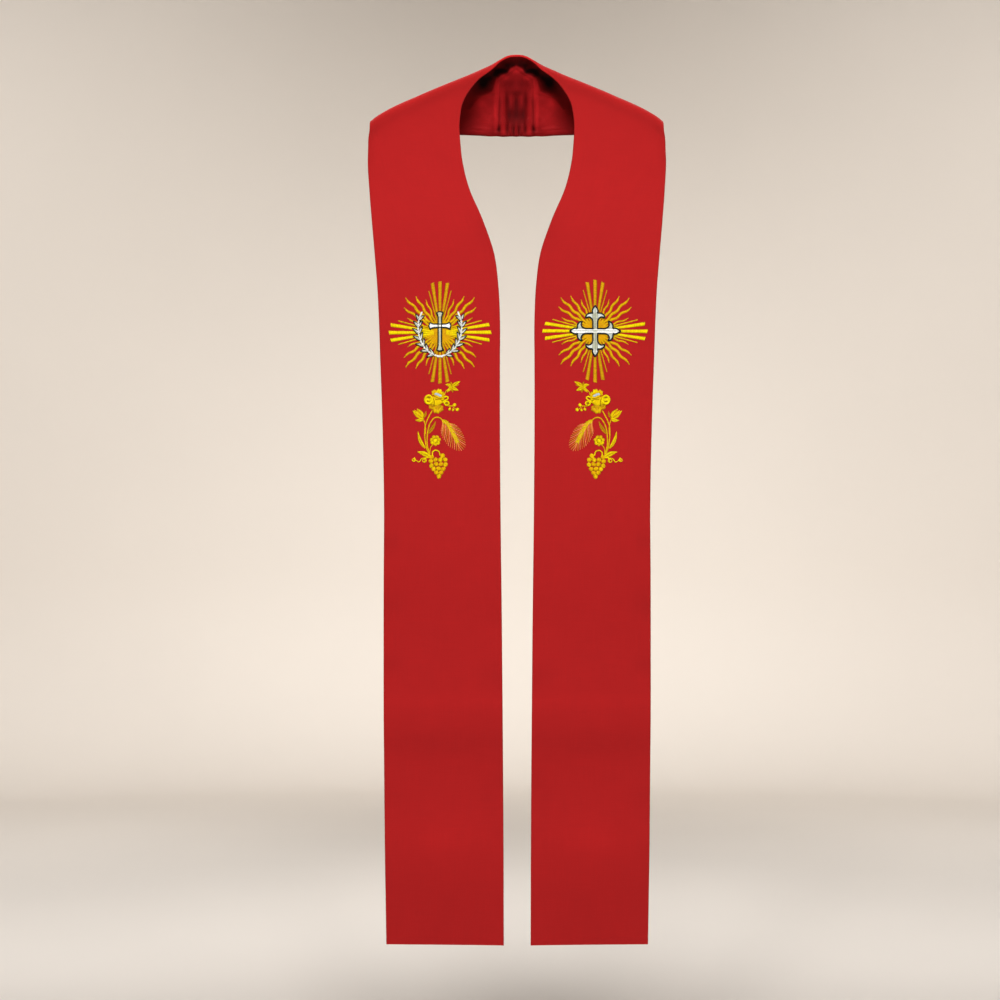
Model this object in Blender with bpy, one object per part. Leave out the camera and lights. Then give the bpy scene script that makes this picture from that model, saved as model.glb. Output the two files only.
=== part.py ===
"""A clerical stole, worn: a lined band of cloth round the neck, over the shoulders and down the front.

Metres, +Z up. The wearer would face -Y, with their right hand at -X. The origin lies on their centre
line, level with the tips of the shoulders, in the middle of the neck opening.
"""
from math import cos, hypot, pi, radians, sin

import bmesh
import bpy
import numpy as np
from mathutils import Vector

MM = 0.001

# ---- Driving dimensions, in millimetres ------------------------------------------------------
CLOTH = 1.4              # outer cloth with its interfacing
LINING = 1.0
SEAM_GAP = 0.3           # between pieces that are sewn together
TURNING = 2.5            # edge turned in round the lining, along the neck and outer edges
HEM_TURNING = 10.0
STEP = 0.2               # run of the step where a turning ends
EDGE_DEPTH = CLOTH + SEAM_GAP + LINING
HALVES = {"right": -1, "left": 1}

# The cloth bends over a ridge along the top of each shoulder: (out, up), out from the centre line.
RIDGE = ((0, 109), (10, 108), (24, 101.5), (38, 93.2), (52, 86.5), (81, 73.4), (109, 61.3), (137.5, 47.9),
         (166, 34.5), (188, 22.8), (199.5, 15.3), (205, 10.5), (212, 3.5))
RIDGE_BEHIND = 62        # how far the ridge lies behind the origin at the centre line
RIDGE_FORWARD = 0.18     # and how fast it comes forward on the way out
CENTRE_ROUND = 20        # both sides blend over this much at the centre back
# From the ridge the cloth falls at PITCH degrees, then steepens until it hangs straight down.
FRONT_FALL = {"pitch": 55.5, "round": 29, "steepen": 290, "power": 4}
BACK_FALL = {"pitch": 60, "round": 20, "steepen": 105, "power": 2}
SHOULDER_SHRINK = 1 / 700  # the fall is this much shorter for each millimetre out

# Lines across the band, from the centre back to the hem. Each runs from the neck edge to the outer
# edge: (out, up) of both as seen from the front, and whether the outer edge is still on the back.
BAND_COLUMNS = ("neck_out", "neck_up", "outer_out", "outer_up", "outer_on_back")
BAND = (
    (0, 108.9, 0, 0, True),
    (10, 107.8, 14, 0, True),
    (22, 100.8, 32, 0, True),
    (33.5, 88, 54, 0, True),
    (51.5, 72, 88, 0, True),
    (69.5, 46.6, 137, 0, True),
    (77.2, 26.8, 178, 0, True),
    (79.6, 8, 203, 0.5, True),
    (80, -10, 207.9, -6, False),
    (78.6, -30, 208.1, -32, False),
    (75.8, -56, 207.6, -60, False),
    (66, -97.5, 204.2, -99, False),
    (47, -143.4, 199.6, -145, False),
    (31.8, -188.8, 195.4, -190, False),
    (25.7, -234, 191.6, -235, False),
    (23.5, -281, 189.4, -281, False),
    (23.6, -336, 187.5, -336, False),
    (23.7, -391, 185.5, -391, False),
    (22.9, -528, 182.4, -528, False),
    (21.3, -665, 183.0, -665, False),
    (19.8, -829, 182.8, -829, False),
    (18.7, -993, 181.3, -993, False),
    (18.3, -1134.5, 179.2, -1134.5, False),
)
# Soft waves across the hanging fronts: height of the crest, its half length, how far forward.
WAVES = ((-610, 55, 1.2), (-722, 50, -1.6), (-826, 55, 2.6), (-915, 50, -2.2), (-1015, 50, 2.2))

LEVEL_FROM, LEVEL_OVER = 300, 400  # length of fall over which the lines across come level

# Where the neck seam draws the lining up, it stands in folds: out, half width, lift, foot, top.
LINING_FOLDS = ((30.5, 3.4, 2.6, 6, 88), (21.5, 2.8, 3.2, 0, 92), (12.5, 2.2, 1.2, 0, 34),
                (7, 1.6, 1.3, 0, 26), (2.6, 1.4, 1.0, 0, 20), (62, 9, 1.6, 10, 66))
FOLD_FADE = 9

STATIONS_BETWEEN = (3, 4, 4, 2, 2, 2, 2, 2, 1, 2, 2, 2, 2, 1, 1, 1, 1, 2, 3, 3, 4, 3)
SPANS = 9                # faces across the band
NOSE = ((0, 0.5), (0.35, 0.14), (1.2, 0))  # a folded edge's round: inset, part of its depth

# Embroidery, raised on the hanging fronts.
STITCH_GAP = 0.3
STITCH = 0.8
EASE = 0.01              # each shape of a motif lies this much deeper than the last
WELD = 0.005             # points of the embroidery nearer than this are one
EMBROIDERY_CUTS = 24     # longest straight stretch of embroidery before it follows the cloth's bend
SUNBURST_AT = {"right": (105.9, -298.1), "left": (107.3, -297)}
# One quarter of the sunburst, from the upright ray to the level one: angle, length, half width.
RAYS = ((0, 70, 2.6), (9.4, 66, 2.5), (16.5, 57, 1.2), (25, 46, 1.3), (35.5, 57, 1.75), (46.5, 64, 1.85),
        (57, 58.5, 1.75), (69, 48, 1.3), (75, 59, 1.2), (81.5, 68, 2.5), (90, 71, 2.6))
BROAD_RAY = 2            # rays of a greater half width have a square end
HEART = 29               # the rays grow together within this radius
# Half of one arm of the even cross, from its root out to the tip of its middle leaf: (aside, along).
ARM = ((2.8, 2.8), (2.8, 12.5), (3.9, 16.8), (7.8, 19.4), (12.6, 18.2), (11.6, 21.8), (7.6, 24.3),
       (3.1, 24.9), (3.6, 28.4), (2.2, 31.8), (0, 34.2))
# The tall cross: half of its outline, from the foot up its right side, and the rib of one palm branch.
TALL_CROSS = ((0, -26.4), (4.8, -24.6), (2.8, -18), (2.8, 6.2), (9, 6.2), (14, 4.2), (15.6, 9),
              (14, 13.8), (9, 11.8), (2.8, 11.8), (2.8, 21), (4.8, 27.4), (0, 29))
PALM_RIB = ((-2.5, -33), (7, -31), (18, -24), (26, -12), (29.5, 2), (29, 16), (25, 27))
PALM_LEAF = {"places": (0.1, 0.62), "turn": 38, "length": 11.5, "width": 3.9}

# The sprig, in (out, up) from the middle of its rose.
SPRIG_FROM_SUNBURST = (4, -93)
STEMS = (
    ((5, -11), (11, -25), (15, -35), (16, -47), (15, -58), (13, -68), (8, -78)),
    ((-9, -29), (-4, -25), (2, -25), (7, -30), (11, -40), (12.5, -52), (12.5, -63), (9, -74)),
    ((3, -60), (8, -66), (9, -73)),
    ((15, -47), (15, -37), (17, -29)),
    ((-8, 4), (-13, 11), (-18, 15)),
    ((-10, -7), (-18, -9.5), (-24, -8)),
    ((-18, -9.5), (-20, -12.5)),
    ((-19, -9), (-27, -13)),
    ((9, -79), (14, -80), (20, -81), (24, -85.5), (31, -82.7)),
)
STEM_WIDTHS = (2.4, 2.4, 1.8, 1.8, 2.0, 1.6, 1.6, 1.6, 1.8)
# Foot, tip and width of each leaf.
LEAVES = (
    ((17, -28), (14.5, -15.5), 6), ((17, -29), (29, -28.5), 6.5), ((18, -28), (32.5, -17), 8),
    ((17, -28), (29.5, -12.5), 9.5), ((11, -46), (1, -30), 3.6), ((15, -67), (25, -44), 5.4),
    ((8, -80), (26, -72), 5.8),
    ((-20, 16), (-32.5, 24.5), 4.4), ((-20, 17), (-30, 12.5), 4.4), ((-21, 16), (-19.5, 26), 3.8),
    ((-22, 17), (-12.5, 20), 4.2), ((-21, 18), (-15.5, 10.5), 3.8),
)
EAR = {"head": (-9, -27.5), "tip": (-33, -66), "width": 20}
ROSE = {"radius": 15, "lobes": 6, "rings": ((-13, -3.5, 5.6), (12, 0, 7))}
SMALL_FLOWER = {"middle": (1.8, -56.2), "radius": 8, "lobes": 6}
BERRIES = ((-24.5, -7.5, 2.6), (-28, -13.5, 2.6), (-20.5, -13, 2.4), (16.6, -82.6, 2.8), (31, -82.7, 2.6))
GRAPE = 3.9
GRAPES = (
    (-8.5, -77), (6.5, -79), (-12, -82.5), (-5.5, -82.5), (1, -82.5), (7.5, -84.5), (-12.5, -89),
    (-6.3, -88.6), (0.3, -88.6), (6.8, -90.5), (-9.5, -95), (-3, -94.6), (3.6, -95), (-6.4, -100),
    (0, -100), (-3.6, -105),
)

RED = (0.46, 0.020, 0.022)
LINING_RED = (0.33, 0.012, 0.018)
GOLD = (0.78, 0.47, 0.02)
SILVER = (0.62, 0.66, 0.66)


# ---- The worn form ---------------------------------------------------------------------------

def hermite(knots, values, at, level_start=False):
    """A smooth curve through a table's rows, one column of values for each output."""
    knots, values, at = np.array(knots, float), np.array(values, float), np.asarray(at, float)
    slopes = np.gradient(values, knots, axis=0)
    if level_start:
        slopes[0] = 0
    place = np.clip(np.searchsorted(knots, at, side="right") - 1, 0, len(knots) - 2)
    span = knots[place + 1] - knots[place]
    part = (at - knots[place]) / span
    if values.ndim > 1:
        span, part = span[:, None], part[:, None]
    rise, rest = part * part * (3 - 2 * part), 1 - part
    bend = rest * slopes[place] - part * slopes[place + 1]
    return values[place] * (1 - rise) + values[place + 1] * rise + bend * part * rest * span


def fall_table(fall, longest):
    """Run and drop of the cloth by its length from the ridge."""
    length = np.linspace(0, longest, 1401)
    pitch = radians(fall["pitch"])
    angle = (pitch * (1 - np.exp(-length / fall["round"]))
             + (pi / 2 - pitch) * (1 - np.exp(-(length / fall["steepen"]) ** fall["power"])))
    step = np.diff(length)

    def total(slope):
        return np.concatenate(([0], np.cumsum((slope[1:] + slope[:-1]) / 2 * step)))

    return length, total(np.cos(angle)), total(np.sin(angle))


FRONT_TABLE = fall_table(FRONT_FALL, 1900)
BACK_TABLE = fall_table(BACK_FALL, 400)


def soft_out(out):
    return np.hypot(out, CENTRE_ROUND) - CENTRE_ROUND


def shrink(out):
    return 1 - soft_out(out) * SHOULDER_SHRINK


def ridge_height(out):
    return hermite([row[0] for row in RIDGE], [row[1] for row in RIDGE], np.abs(out), level_start=True)


def wave(up):
    return sum(forward * np.exp(-((up - height) / half) ** 2) for height, half, forward in WAVES)


def form(out, fall):
    """The cloth's outer face, at a distance out from the centre line and a length of fall from the
    ridge, behind it where fall is negative. Gives x, y, z in millimetres."""
    size = shrink(out)
    length = fall / size
    run = np.where(fall >= 0, -np.interp(length, FRONT_TABLE[0], FRONT_TABLE[1]),
                   np.interp(-length, BACK_TABLE[0], BACK_TABLE[1]))
    drop = np.where(fall >= 0, np.interp(length, FRONT_TABLE[0], FRONT_TABLE[2]),
                    np.interp(-length, BACK_TABLE[0], BACK_TABLE[2]))
    up = ridge_height(out) - drop * size
    behind = RIDGE_BEHIND - RIDGE_FORWARD * soft_out(out) + run * size
    return np.stack([out, behind - np.where(fall > 0, wave(up), 0), up], axis=-1)


def normal(out, fall):
    """The outward direction of the outer face."""
    nudge = 0.5
    along = form(out, fall + nudge) - form(out, fall - nudge)
    across = form(out + nudge, fall) - form(out - nudge, fall)
    outward = np.cross(along, across)
    return outward / np.linalg.norm(outward, axis=-1, keepdims=True)


def fall_at(out, up, on_back=False):
    """The length of fall from the ridge at which the cloth reaches a height."""
    size = shrink(out)
    length, _, drop = BACK_TABLE if on_back else FRONT_TABLE
    below = np.maximum(ridge_height(out) - up, 0) / size
    return np.interp(below, drop, length) * size * (-1 if on_back else 1)


def band_lines():
    """The band's lines across, as (neck out, neck fall, outer out, outer fall): those of the plain band,
    and those of the hem, which are the step where its turning ends, its round and its edge."""
    rows = []
    for row in BAND:
        line = dict(zip(BAND_COLUMNS, row))
        neck = (line["neck_out"], float(fall_at(line["neck_out"], line["neck_up"])))
        outer_fall = fall_at(line["outer_out"], line["outer_up"], line["outer_on_back"])
        rows.append(neck + (line["outer_out"], float(outer_fall)))
    rows = np.array(rows)
    middles = form((rows[:, 0] + rows[:, 2]) / 2, (rows[:, 1] + rows[:, 3]) / 2)
    knots = np.concatenate(([0], np.cumsum(np.linalg.norm(np.diff(middles, axis=0), axis=1))))
    stations = [knots[k] + (knots[k + 1] - knots[k]) * step / count
                for k, count in enumerate(STATIONS_BETWEEN) for step in range(count)]
    turning = knots[-1] - HEM_TURNING
    plain = [place for place in stations if place < turning - HEM_TURNING]
    hem = [turning - STEP, turning, knots[-1] - NOSE[-1][0], knots[-1]]
    return hermite(knots, rows, plain), hermite(knots, rows, hem)


PLAIN_LINES, HEM_LINES = band_lines()


# ---- Walls of cloth --------------------------------------------------------------------------

def across(line, part):
    """(out, fall) at parts of the way from a line's neck edge to its outer edge. Low on the fronts the
    height runs evenly from one to the other, as the hem does."""
    part = np.asarray(part, float)
    out = line[0] + (line[2] - line[0]) * part
    fall = line[1] + (line[3] - line[1]) * part
    ridge = ridge_height(line[[0, 2]])
    low = np.clip((fall - LEVEL_FROM) / LEVEL_OVER, 0, 1)
    return out, fall + (ridge_height(out) - ridge[0] - (ridge[1] - ridge[0]) * part) * low


def line_width(line):
    placed = form(*across(line, np.linspace(0, 1, 21)))
    return np.linalg.norm(np.diff(placed, axis=0), axis=1).sum()


def fold_lift(out, up, on_back):
    """How far the lining stands off in its folds behind the neck."""
    lift = np.zeros_like(out)
    for place, half, height, foot, top in LINING_FOLDS:
        inside = 1 / (1 + np.exp(-(up - foot) / FOLD_FADE * 4)) / (1 + np.exp((up - top) / FOLD_FADE * 2))
        lift += height * np.exp(-((out - place) / half) ** 2) * inside
    return np.where(on_back, lift, 0)


def points(line, parts, depths, folded=False):
    out, fall = across(line, parts)
    outer, outward = form(out, fall), normal(out, fall)
    depths = np.array(depths, float)
    if folded:
        depths = depths + fold_lift(out, outer[:, 2], fall < 0)
    placed = outer - outward * depths[:, None]
    placed[:, 0] = np.maximum(placed[:, 0], SEAM_GAP / 2)
    if line[0] == 0:
        placed[:, 0] = SEAM_GAP / 2
    return placed


def inner_parts():
    return [span / SPANS for span in range(1, SPANS)]


def cloth_ring(line, inner_depth):
    """One section of the outer cloth, its edges turned in round the lining."""
    width = line_width(line)
    nose = [(inset, depth * EDGE_DEPTH) for inset, depth in NOSE]
    back_nose = [(inset, EDGE_DEPTH - depth) for inset, depth in nose[:0:-1]]
    near = [(inset / width, depth) for inset, depth in nose]
    front = [(part, 0) for part in inner_parts()]
    far = [(1 - inset / width, depth) for inset, depth in nose[::-1]]
    far += [(1 - inset / width, depth) for inset, depth in back_nose[::-1]]
    lip = [(TURNING / width, EDGE_DEPTH), ((TURNING + STEP) / width, inner_depth)]
    far_lip = [(1 - part, depth) for part, depth in lip]
    back = [(part, inner_depth) for part in reversed(inner_parts())]
    near_lip = lip[::-1] + [(inset / width, depth) for inset, depth in back_nose]
    ring = near + front + far + far_lip + back + near_lip
    return points(line, [part for part, _ in ring], [depth for _, depth in ring])


def lining_ring(line):
    """One section of the lining, set between the turned edges."""
    inset = (TURNING + STEP + SEAM_GAP) / line_width(line)
    parts = [inset] + inner_parts() + [1 - inset]
    near = CLOTH + SEAM_GAP
    depths = [near] * len(parts) + [near + LINING] * len(parts)
    return points(line, parts + parts[::-1], depths, folded=True)


def loft(rings, name, side, color, roughness, metallic=0.0):
    """A closed wall through its sections, on one side of the centre line."""
    shape = bmesh.new()
    loops = [[shape.verts.new((side * x * MM, y * MM, z * MM)) for x, y, z in ring] for ring in rings]
    for one, two in zip(loops, loops[1:]):
        for k in range(len(one)):
            after = (k + 1) % len(one)
            shape.faces.new((one[k], one[after], two[after], two[k]))
    shape.faces.new(loops[0][::-1])
    shape.faces.new(loops[-1])
    bmesh.ops.triangulate(shape, faces=shape.faces[:])
    bmesh.ops.recalc_face_normals(shape, faces=shape.faces[:])
    return finish(shape, name, color, roughness, metallic)


def finish(shape, name, color, roughness, metallic=0.0):
    mesh = bpy.data.meshes.new(name)
    shape.to_mesh(mesh)
    shape.free()
    mesh.shade_smooth()
    mesh.set_sharp_from_angle(angle=radians(35))
    material = bpy.data.materials.new(name)
    material.use_nodes = True
    surface = material.node_tree.nodes["Principled BSDF"]
    surface.inputs["Base Color"].default_value = (*color, 1)
    surface.inputs["Roughness"].default_value = roughness
    surface.inputs["Metallic"].default_value = metallic
    mesh.materials.append(material)
    built = bpy.data.objects.new(name, mesh)
    PARTS.objects.link(built)
    return built


def make_outer(name, side):
    before_step, *hem = HEM_LINES
    rings = [cloth_ring(line, CLOTH) for line in (*PLAIN_LINES, before_step)]
    rings += [cloth_ring(line, EDGE_DEPTH) for line in hem]
    loft(rings, f"outer_{name}", side, RED, 0.85)


def make_lining(name, side):
    """The lining ends a seam gap above the hem's turning."""
    last, step = PLAIN_LINES[-1], HEM_LINES[0]
    ease = SEAM_GAP / np.linalg.norm(form(*step[:2]) - form(*last[:2]))
    rings = [lining_ring(line) for line in (*PLAIN_LINES, step + (last - step) * ease)]
    loft(rings, f"lining_{name}", side, LINING_RED, 0.35)


# ---- Embroidery ------------------------------------------------------------------------------

def turned(point, degrees):
    """A point turned clockwise about the middle, seen from the front."""
    angle = radians(degrees)
    return (point[0] * cos(angle) + point[1] * sin(angle), point[1] * cos(angle) - point[0] * sin(angle))


def flat_shape(outline, low, high, name):
    """An outline (across, up) filled and given its thickness, as a hidden working object."""
    curve = bpy.data.curves.new(name, "CURVE")
    curve.dimensions = "2D"
    curve.fill_mode = "BOTH"
    curve.extrude = (high - low) / 2
    spline = curve.splines.new("POLY")
    spline.points.add(len(outline) - 1)
    for point, (x, y) in zip(spline.points, outline):
        point.co = (x, y, 0, 1)
    spline.use_cyclic_u = True
    drawn = bpy.data.objects.new(name, curve)
    WORK.objects.link(drawn)
    drawn.location.z = (low + high) / 2
    bpy.context.view_layer.update()
    mesh = bpy.data.meshes.new_from_object(drawn.evaluated_get(bpy.context.evaluated_depsgraph_get()))
    mesh.transform(drawn.matrix_world)
    bpy.data.objects.remove(drawn)
    shape = bmesh.new()
    shape.from_mesh(mesh)
    bmesh.ops.remove_doubles(shape, verts=shape.verts[:], dist=WELD)
    bmesh.ops.recalc_face_normals(shape, faces=shape.faces[:])
    shape.to_mesh(mesh)
    shape.free()
    made = bpy.data.objects.new(name, mesh)
    made.hide_render = True
    made.display_type = "WIRE"
    WORK.objects.link(made)
    return made


def joined(outlines, name):
    """Overlapping outlines made into one flat body. Each lies a little deeper than the last."""
    made = []
    for index, outline in enumerate(outlines):
        ease = EASE * index
        top = STITCH_GAP + STITCH + ease / 2
        made.append(flat_shape(outline, STITCH_GAP + ease, top, f"{name}_{index}"))
    base = made[0]
    for other in made[1:]:
        union = base.modifiers.new(other.name, "BOOLEAN")
        union.operation = "UNION"
        union.solver = "EXACT"
        union.object = other
    bpy.context.view_layer.update()
    mesh = bpy.data.meshes.new_from_object(base.evaluated_get(bpy.context.evaluated_depsgraph_get()))
    shape = bmesh.new()
    shape.from_mesh(mesh)
    bmesh.ops.remove_doubles(shape, verts=shape.verts[:], dist=WELD)
    bmesh.ops.dissolve_limit(shape, angle_limit=radians(0.2), verts=shape.verts[:], edges=shape.edges[:])
    for item in made:
        bpy.data.objects.remove(item)
    return shape


def sew_on(shape, name, side, middle, color, metallic, lift=0.0):
    """Lay a flat body on the hanging front: x is out from the centre line, y is up."""
    for axis in (0, 1):
        reach = [vert.co[axis] for vert in shape.verts]
        cut = np.ceil(min(reach) / EMBROIDERY_CUTS) * EMBROIDERY_CUTS + 0.37
        while cut < max(reach):
            plane = Vector((axis == 0, axis == 1, 0))
            bmesh.ops.bisect_plane(shape, geom=shape.verts[:] + shape.edges[:] + shape.faces[:], dist=WELD,
                                   plane_co=plane * cut, plane_no=plane)
            cut += EMBROIDERY_CUTS
    bmesh.ops.triangulate(shape, faces=shape.faces[:])
    for vert in shape.verts:
        out, up = middle[0] + vert.co.x, middle[1] + vert.co.y
        fall = fall_at(out, up)
        x, y, z = form(out, fall) + normal(out, fall) * (vert.co.z + lift)
        vert.co = (side * x * MM, y * MM, z * MM)
    bmesh.ops.recalc_face_normals(shape, faces=shape.faces[:])
    finish(shape, name, color, 0.4, metallic)


def sunburst():
    """A star of straight rays on the four arms, with shorter rays between them."""
    one_side = list(RAYS) + [(180 - angle, length, half) for angle, length, half in RAYS[-2::-1]]
    rays = one_side + [(360 - angle, length, half) for angle, length, half in one_side[-2:0:-1]]
    outline = []
    for (angle, length, half), following in zip(rays, rays[1:] + [(360, 0, 0)]):
        tip = (-half, half) if half > BROAD_RAY else (0,)
        outline += [turned((aside, length), angle) for aside in tip]
        outline.append(turned((0, HEART), (angle + following[0]) / 2))
    return outline


def disc(middle, radius, sides=7):
    return [(middle[0] + radius * cos(2 * pi * k / sides), middle[1] + radius * sin(2 * pi * k / sides))
            for k in range(sides)]


def scalloped(middle, radius, lobes):
    """A round flower with a wavy rim."""
    corners = lobes * 2
    rim = [radius * (0.93 + 0.07 * cos(pi * k)) for k in range(corners)]
    return [(middle[0] + r * cos(2 * pi * k / corners), middle[1] + r * sin(2 * pi * k / corners))
            for k, r in enumerate(rim)]


def leaf(foot, tip, width, points_a_side=3):
    """A pointed leaf between its foot and its tip."""
    along = (tip[0] - foot[0], tip[1] - foot[1])
    length = hypot(*along)
    aside = (-along[1] / length, along[0] / length)
    sides = []
    for sign in (1, -1):
        rim = []
        for k in range(1, points_a_side + 1):
            part = k / (points_a_side + 1)
            half = sign * width / 2 * sin(pi * part ** 0.8)
            rim.append([foot[i] + along[i] * part + aside[i] * half for i in (0, 1)])
        sides.append(rim)
    return [foot] + sides[0] + [tip] + sides[1][::-1]


def stroke(route, width):
    """A narrow stem along its route, tapering a little to its tip."""
    left, right = [], []
    for k, point in enumerate(route):
        before, after = route[max(k - 1, 0)], route[min(k + 1, len(route) - 1)]
        along = (after[0] - before[0], after[1] - before[1])
        length = hypot(*along)
        half = width / 2 * (1 - 0.35 * k / (len(route) - 1))
        aside = (-along[1] / length * half, along[0] / length * half)
        left.append((point[0] + aside[0], point[1] + aside[1]))
        right.append((point[0] - aside[0], point[1] - aside[1]))
    return left + right[::-1]


def cross_fleury():
    """An even cross whose arms end in a pointed leaf between two curled ones."""
    arm = [(-aside, along) for aside, along in ARM] + list(ARM[-2::-1])
    return [turned(point, quarter * 90) for quarter in range(4) for point in arm]


def palm_branch(side):
    """A palm branch: a bowed rib with pairs of leaflets."""
    rib = [(side * x, y) for x, y in PALM_RIB]
    pieces = [stroke(rib, 2.6)]
    for (ax, ay), (bx, by) in zip(rib[1:], rib[2:]):
        for part in PALM_LEAF["places"]:
            foot = (ax + (bx - ax) * part, ay + (by - ay) * part)
            along = Vector((bx - ax, by - ay)).normalized()
            for turn in (PALM_LEAF["turn"], -PALM_LEAF["turn"]):
                way = turned(along, turn)
                start = (foot[0] + along[0] * turn / 60, foot[1] + along[1] * turn / 60)
                tip = (start[0] + way[0] * PALM_LEAF["length"], start[1] + way[1] * PALM_LEAF["length"])
                pieces.append(leaf(start, tip, PALM_LEAF["width"], 1))
    return pieces


def palms_and_cross():
    """A tall cross with splayed ends between two palm branches that are crossed at the foot."""
    cross = list(TALL_CROSS) + [(-x, y) for x, y in TALL_CROSS[-2:0:-1]]
    foot = stroke([(0, -22), (0, -27), (0, -31.5)], 3.4)
    return [cross, foot] + palm_branch(1) + palm_branch(-1)


def sprig():
    """A rose with leaves over an ear of wheat and a bunch of grapes, hung on two bowed stems. The
    middle of the rose is (0, 0), and -x lies towards the wearer's centre line."""
    pieces = [stroke(stem, width) for stem, width in zip(STEMS, STEM_WIDTHS)]
    pieces.append(scalloped((0, 0), ROSE["radius"], ROSE["lobes"]))
    pieces += [disc((x, y), radius, 9) for x, y, radius in ROSE["rings"]]
    pieces.append(leaf(EAR["head"], EAR["tip"], EAR["width"], 5))
    pieces.append(scalloped(SMALL_FLOWER["middle"], SMALL_FLOWER["radius"], SMALL_FLOWER["lobes"]))
    pieces += [leaf(foot, tip, width) for foot, tip, width in LEAVES]
    pieces += [disc((x, y), radius, 6) for x, y, radius in BERRIES]
    pieces += [disc(grape, GRAPE) for grape in GRAPES]
    return pieces


# ---- The stole -------------------------------------------------------------------------------

def main():
    for name, side in HALVES.items():
        make_outer(name, side)
        make_lining(name, side)
        middle = SUNBURST_AT[name]
        sew_on(joined([sunburst()], "burst"), f"sunburst_{name}", side, middle, GOLD, 0.3)
        emblem = joined(palms_and_cross() if name == "right" else [cross_fleury()], "emblem")
        sew_on(emblem, f"emblem_{name}", side, middle, SILVER, 0.3, lift=STITCH + STITCH_GAP)
        below = (middle[0] + SPRIG_FROM_SUNBURST[0], middle[1] + SPRIG_FROM_SUNBURST[1])
        sew_on(joined(sprig(), "sprig"), f"sprig_{name}", side, below, GOLD, 0.3)


for old in list(bpy.data.objects):
    bpy.data.objects.remove(old)
PARTS = bpy.data.collections.new("clerical_stole")
WORK = bpy.data.collections.new("stole_working_shapes")
for group in (PARTS, WORK):
    bpy.context.scene.collection.children.link(group)
main()
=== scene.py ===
"""Dresses a worn clerical stole: woven outer cloth, satin lining and raised embroidery.

Metres in the scene, millimetres in the tables. The wearer would face -Y, with the right hand at -X.
"""
from math import cos, hypot, pi, radians, sin

import bpy
import numpy as np
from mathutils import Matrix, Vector


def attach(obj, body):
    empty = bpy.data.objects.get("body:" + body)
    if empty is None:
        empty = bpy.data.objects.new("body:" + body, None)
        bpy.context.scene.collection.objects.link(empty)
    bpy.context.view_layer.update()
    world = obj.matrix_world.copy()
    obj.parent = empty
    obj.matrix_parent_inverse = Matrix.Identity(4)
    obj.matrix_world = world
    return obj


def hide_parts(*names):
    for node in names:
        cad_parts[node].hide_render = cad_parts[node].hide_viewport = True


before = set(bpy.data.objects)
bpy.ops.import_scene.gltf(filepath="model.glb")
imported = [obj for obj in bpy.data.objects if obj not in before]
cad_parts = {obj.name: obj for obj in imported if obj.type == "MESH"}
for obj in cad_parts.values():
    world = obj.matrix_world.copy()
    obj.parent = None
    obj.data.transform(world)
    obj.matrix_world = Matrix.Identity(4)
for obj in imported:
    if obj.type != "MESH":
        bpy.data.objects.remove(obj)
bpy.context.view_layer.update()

bl_info = {
    "name": "Clerical Stole",
    "version": (1, 0, 0),
    "blender": (4, 5, 0),
    "location": "3D View > Sidebar > Stole",
    "description": "Builds the cloth, lining and embroidery of a worn clerical stole",
    "category": "Add Mesh",
}

MM = 0.001
SIDES = {"right": -1, "left": 1}

# ---- The worn form: the same named sizes as the solids ------------------------------------------
CLOTH = 1.4
LINING = 1.0
SEAM_GAP = 0.3
EDGE_DEPTH = CLOTH + SEAM_GAP + LINING
TURNING = 2.4            # edge turned in round the lining, along the neck and outer edges
HEM_TURNING = 10.0
LIP_BLEND = 0.1          # the turned-in edge drops to the inner face over this
LINING_CLEAR = 0.06      # between the turned-in edge and the lining
LINING_INSET = TURNING + LIP_BLEND + LINING_CLEAR
SEAM_CLOSE = 0.01        # half the gap left between the halves at the centre back

# Out and height of the top fold, from the centre back to the end of the shoulder.
RIDGE = (
    (0, 109), (10, 108), (24, 101.5), (38, 93.2), (52, 86.5), (81, 73.4), (109, 61.3), (137.5, 47.9),
    (166, 34.5), (188, 22.8), (199.5, 15.3), (205, 10.5), (212, 3.5),
)
RIDGE_BEHIND = 62        # the peak of the fold lies this far behind the place where the stole is held
RIDGE_FORWARD = 0.18     # and comes forward by this part of its way out
CENTRE_ROUND = 20        # the fold turns over the centre within about this distance out
# How the cloth falls from the fold: its slope in degrees, the length in which it turns to that
# slope, the length at which it steepens to hang plumb, and how sharply.
FRONT_FALL = {"pitch": 55.5, "round": 29, "steepen": 290, "power": 4}
BACK_FALL = {"pitch": 60, "round": 20, "steepen": 105, "power": 2}
SHOULDER_SHRINK = 1 / 700  # for each millimetre out, the fall's curve is smaller by this part
FRONT_LONGEST, BACK_LONGEST, FALL_SAMPLES = 1900, 400, 1401  # reach of the tables of the fall

# Lines across the band from the centre back to the hem: neck edge (out, up), outer edge (out, up),
# and whether the outer edge is still on the back.
BAND = (
    (0, 108.9, 0, 0, True), (10, 107.8, 14, 0, True), (22, 100.8, 32, 0, True), (33.5, 88, 54, 0, True),
    (51.5, 72, 88, 0, True), (69.5, 46.6, 137, 0, True), (77.2, 26.8, 178, 0, True),
    (79.6, 8, 203, 0.5, True), (80, -10, 207.9, -6, False), (78.6, -30, 208.1, -32, False),
    (75.8, -56, 207.6, -60, False), (66, -97.5, 204.2, -99, False), (47, -143.4, 199.6, -145, False),
    (31.8, -188.8, 195.4, -190, False), (25.7, -234, 191.6, -235, False), (23.5, -281, 189.4, -281, False),
    (23.6, -336, 187.5, -336, False), (23.7, -391, 185.5, -391, False), (22.9, -528, 182.4, -528, False),
    (21.3, -665, 183.0, -665, False), (19.8, -829, 182.8, -829, False), (18.7, -993, 181.3, -993, False),
    (18.3, -1134.5, 179.2, -1134.5, False),
)
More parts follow.
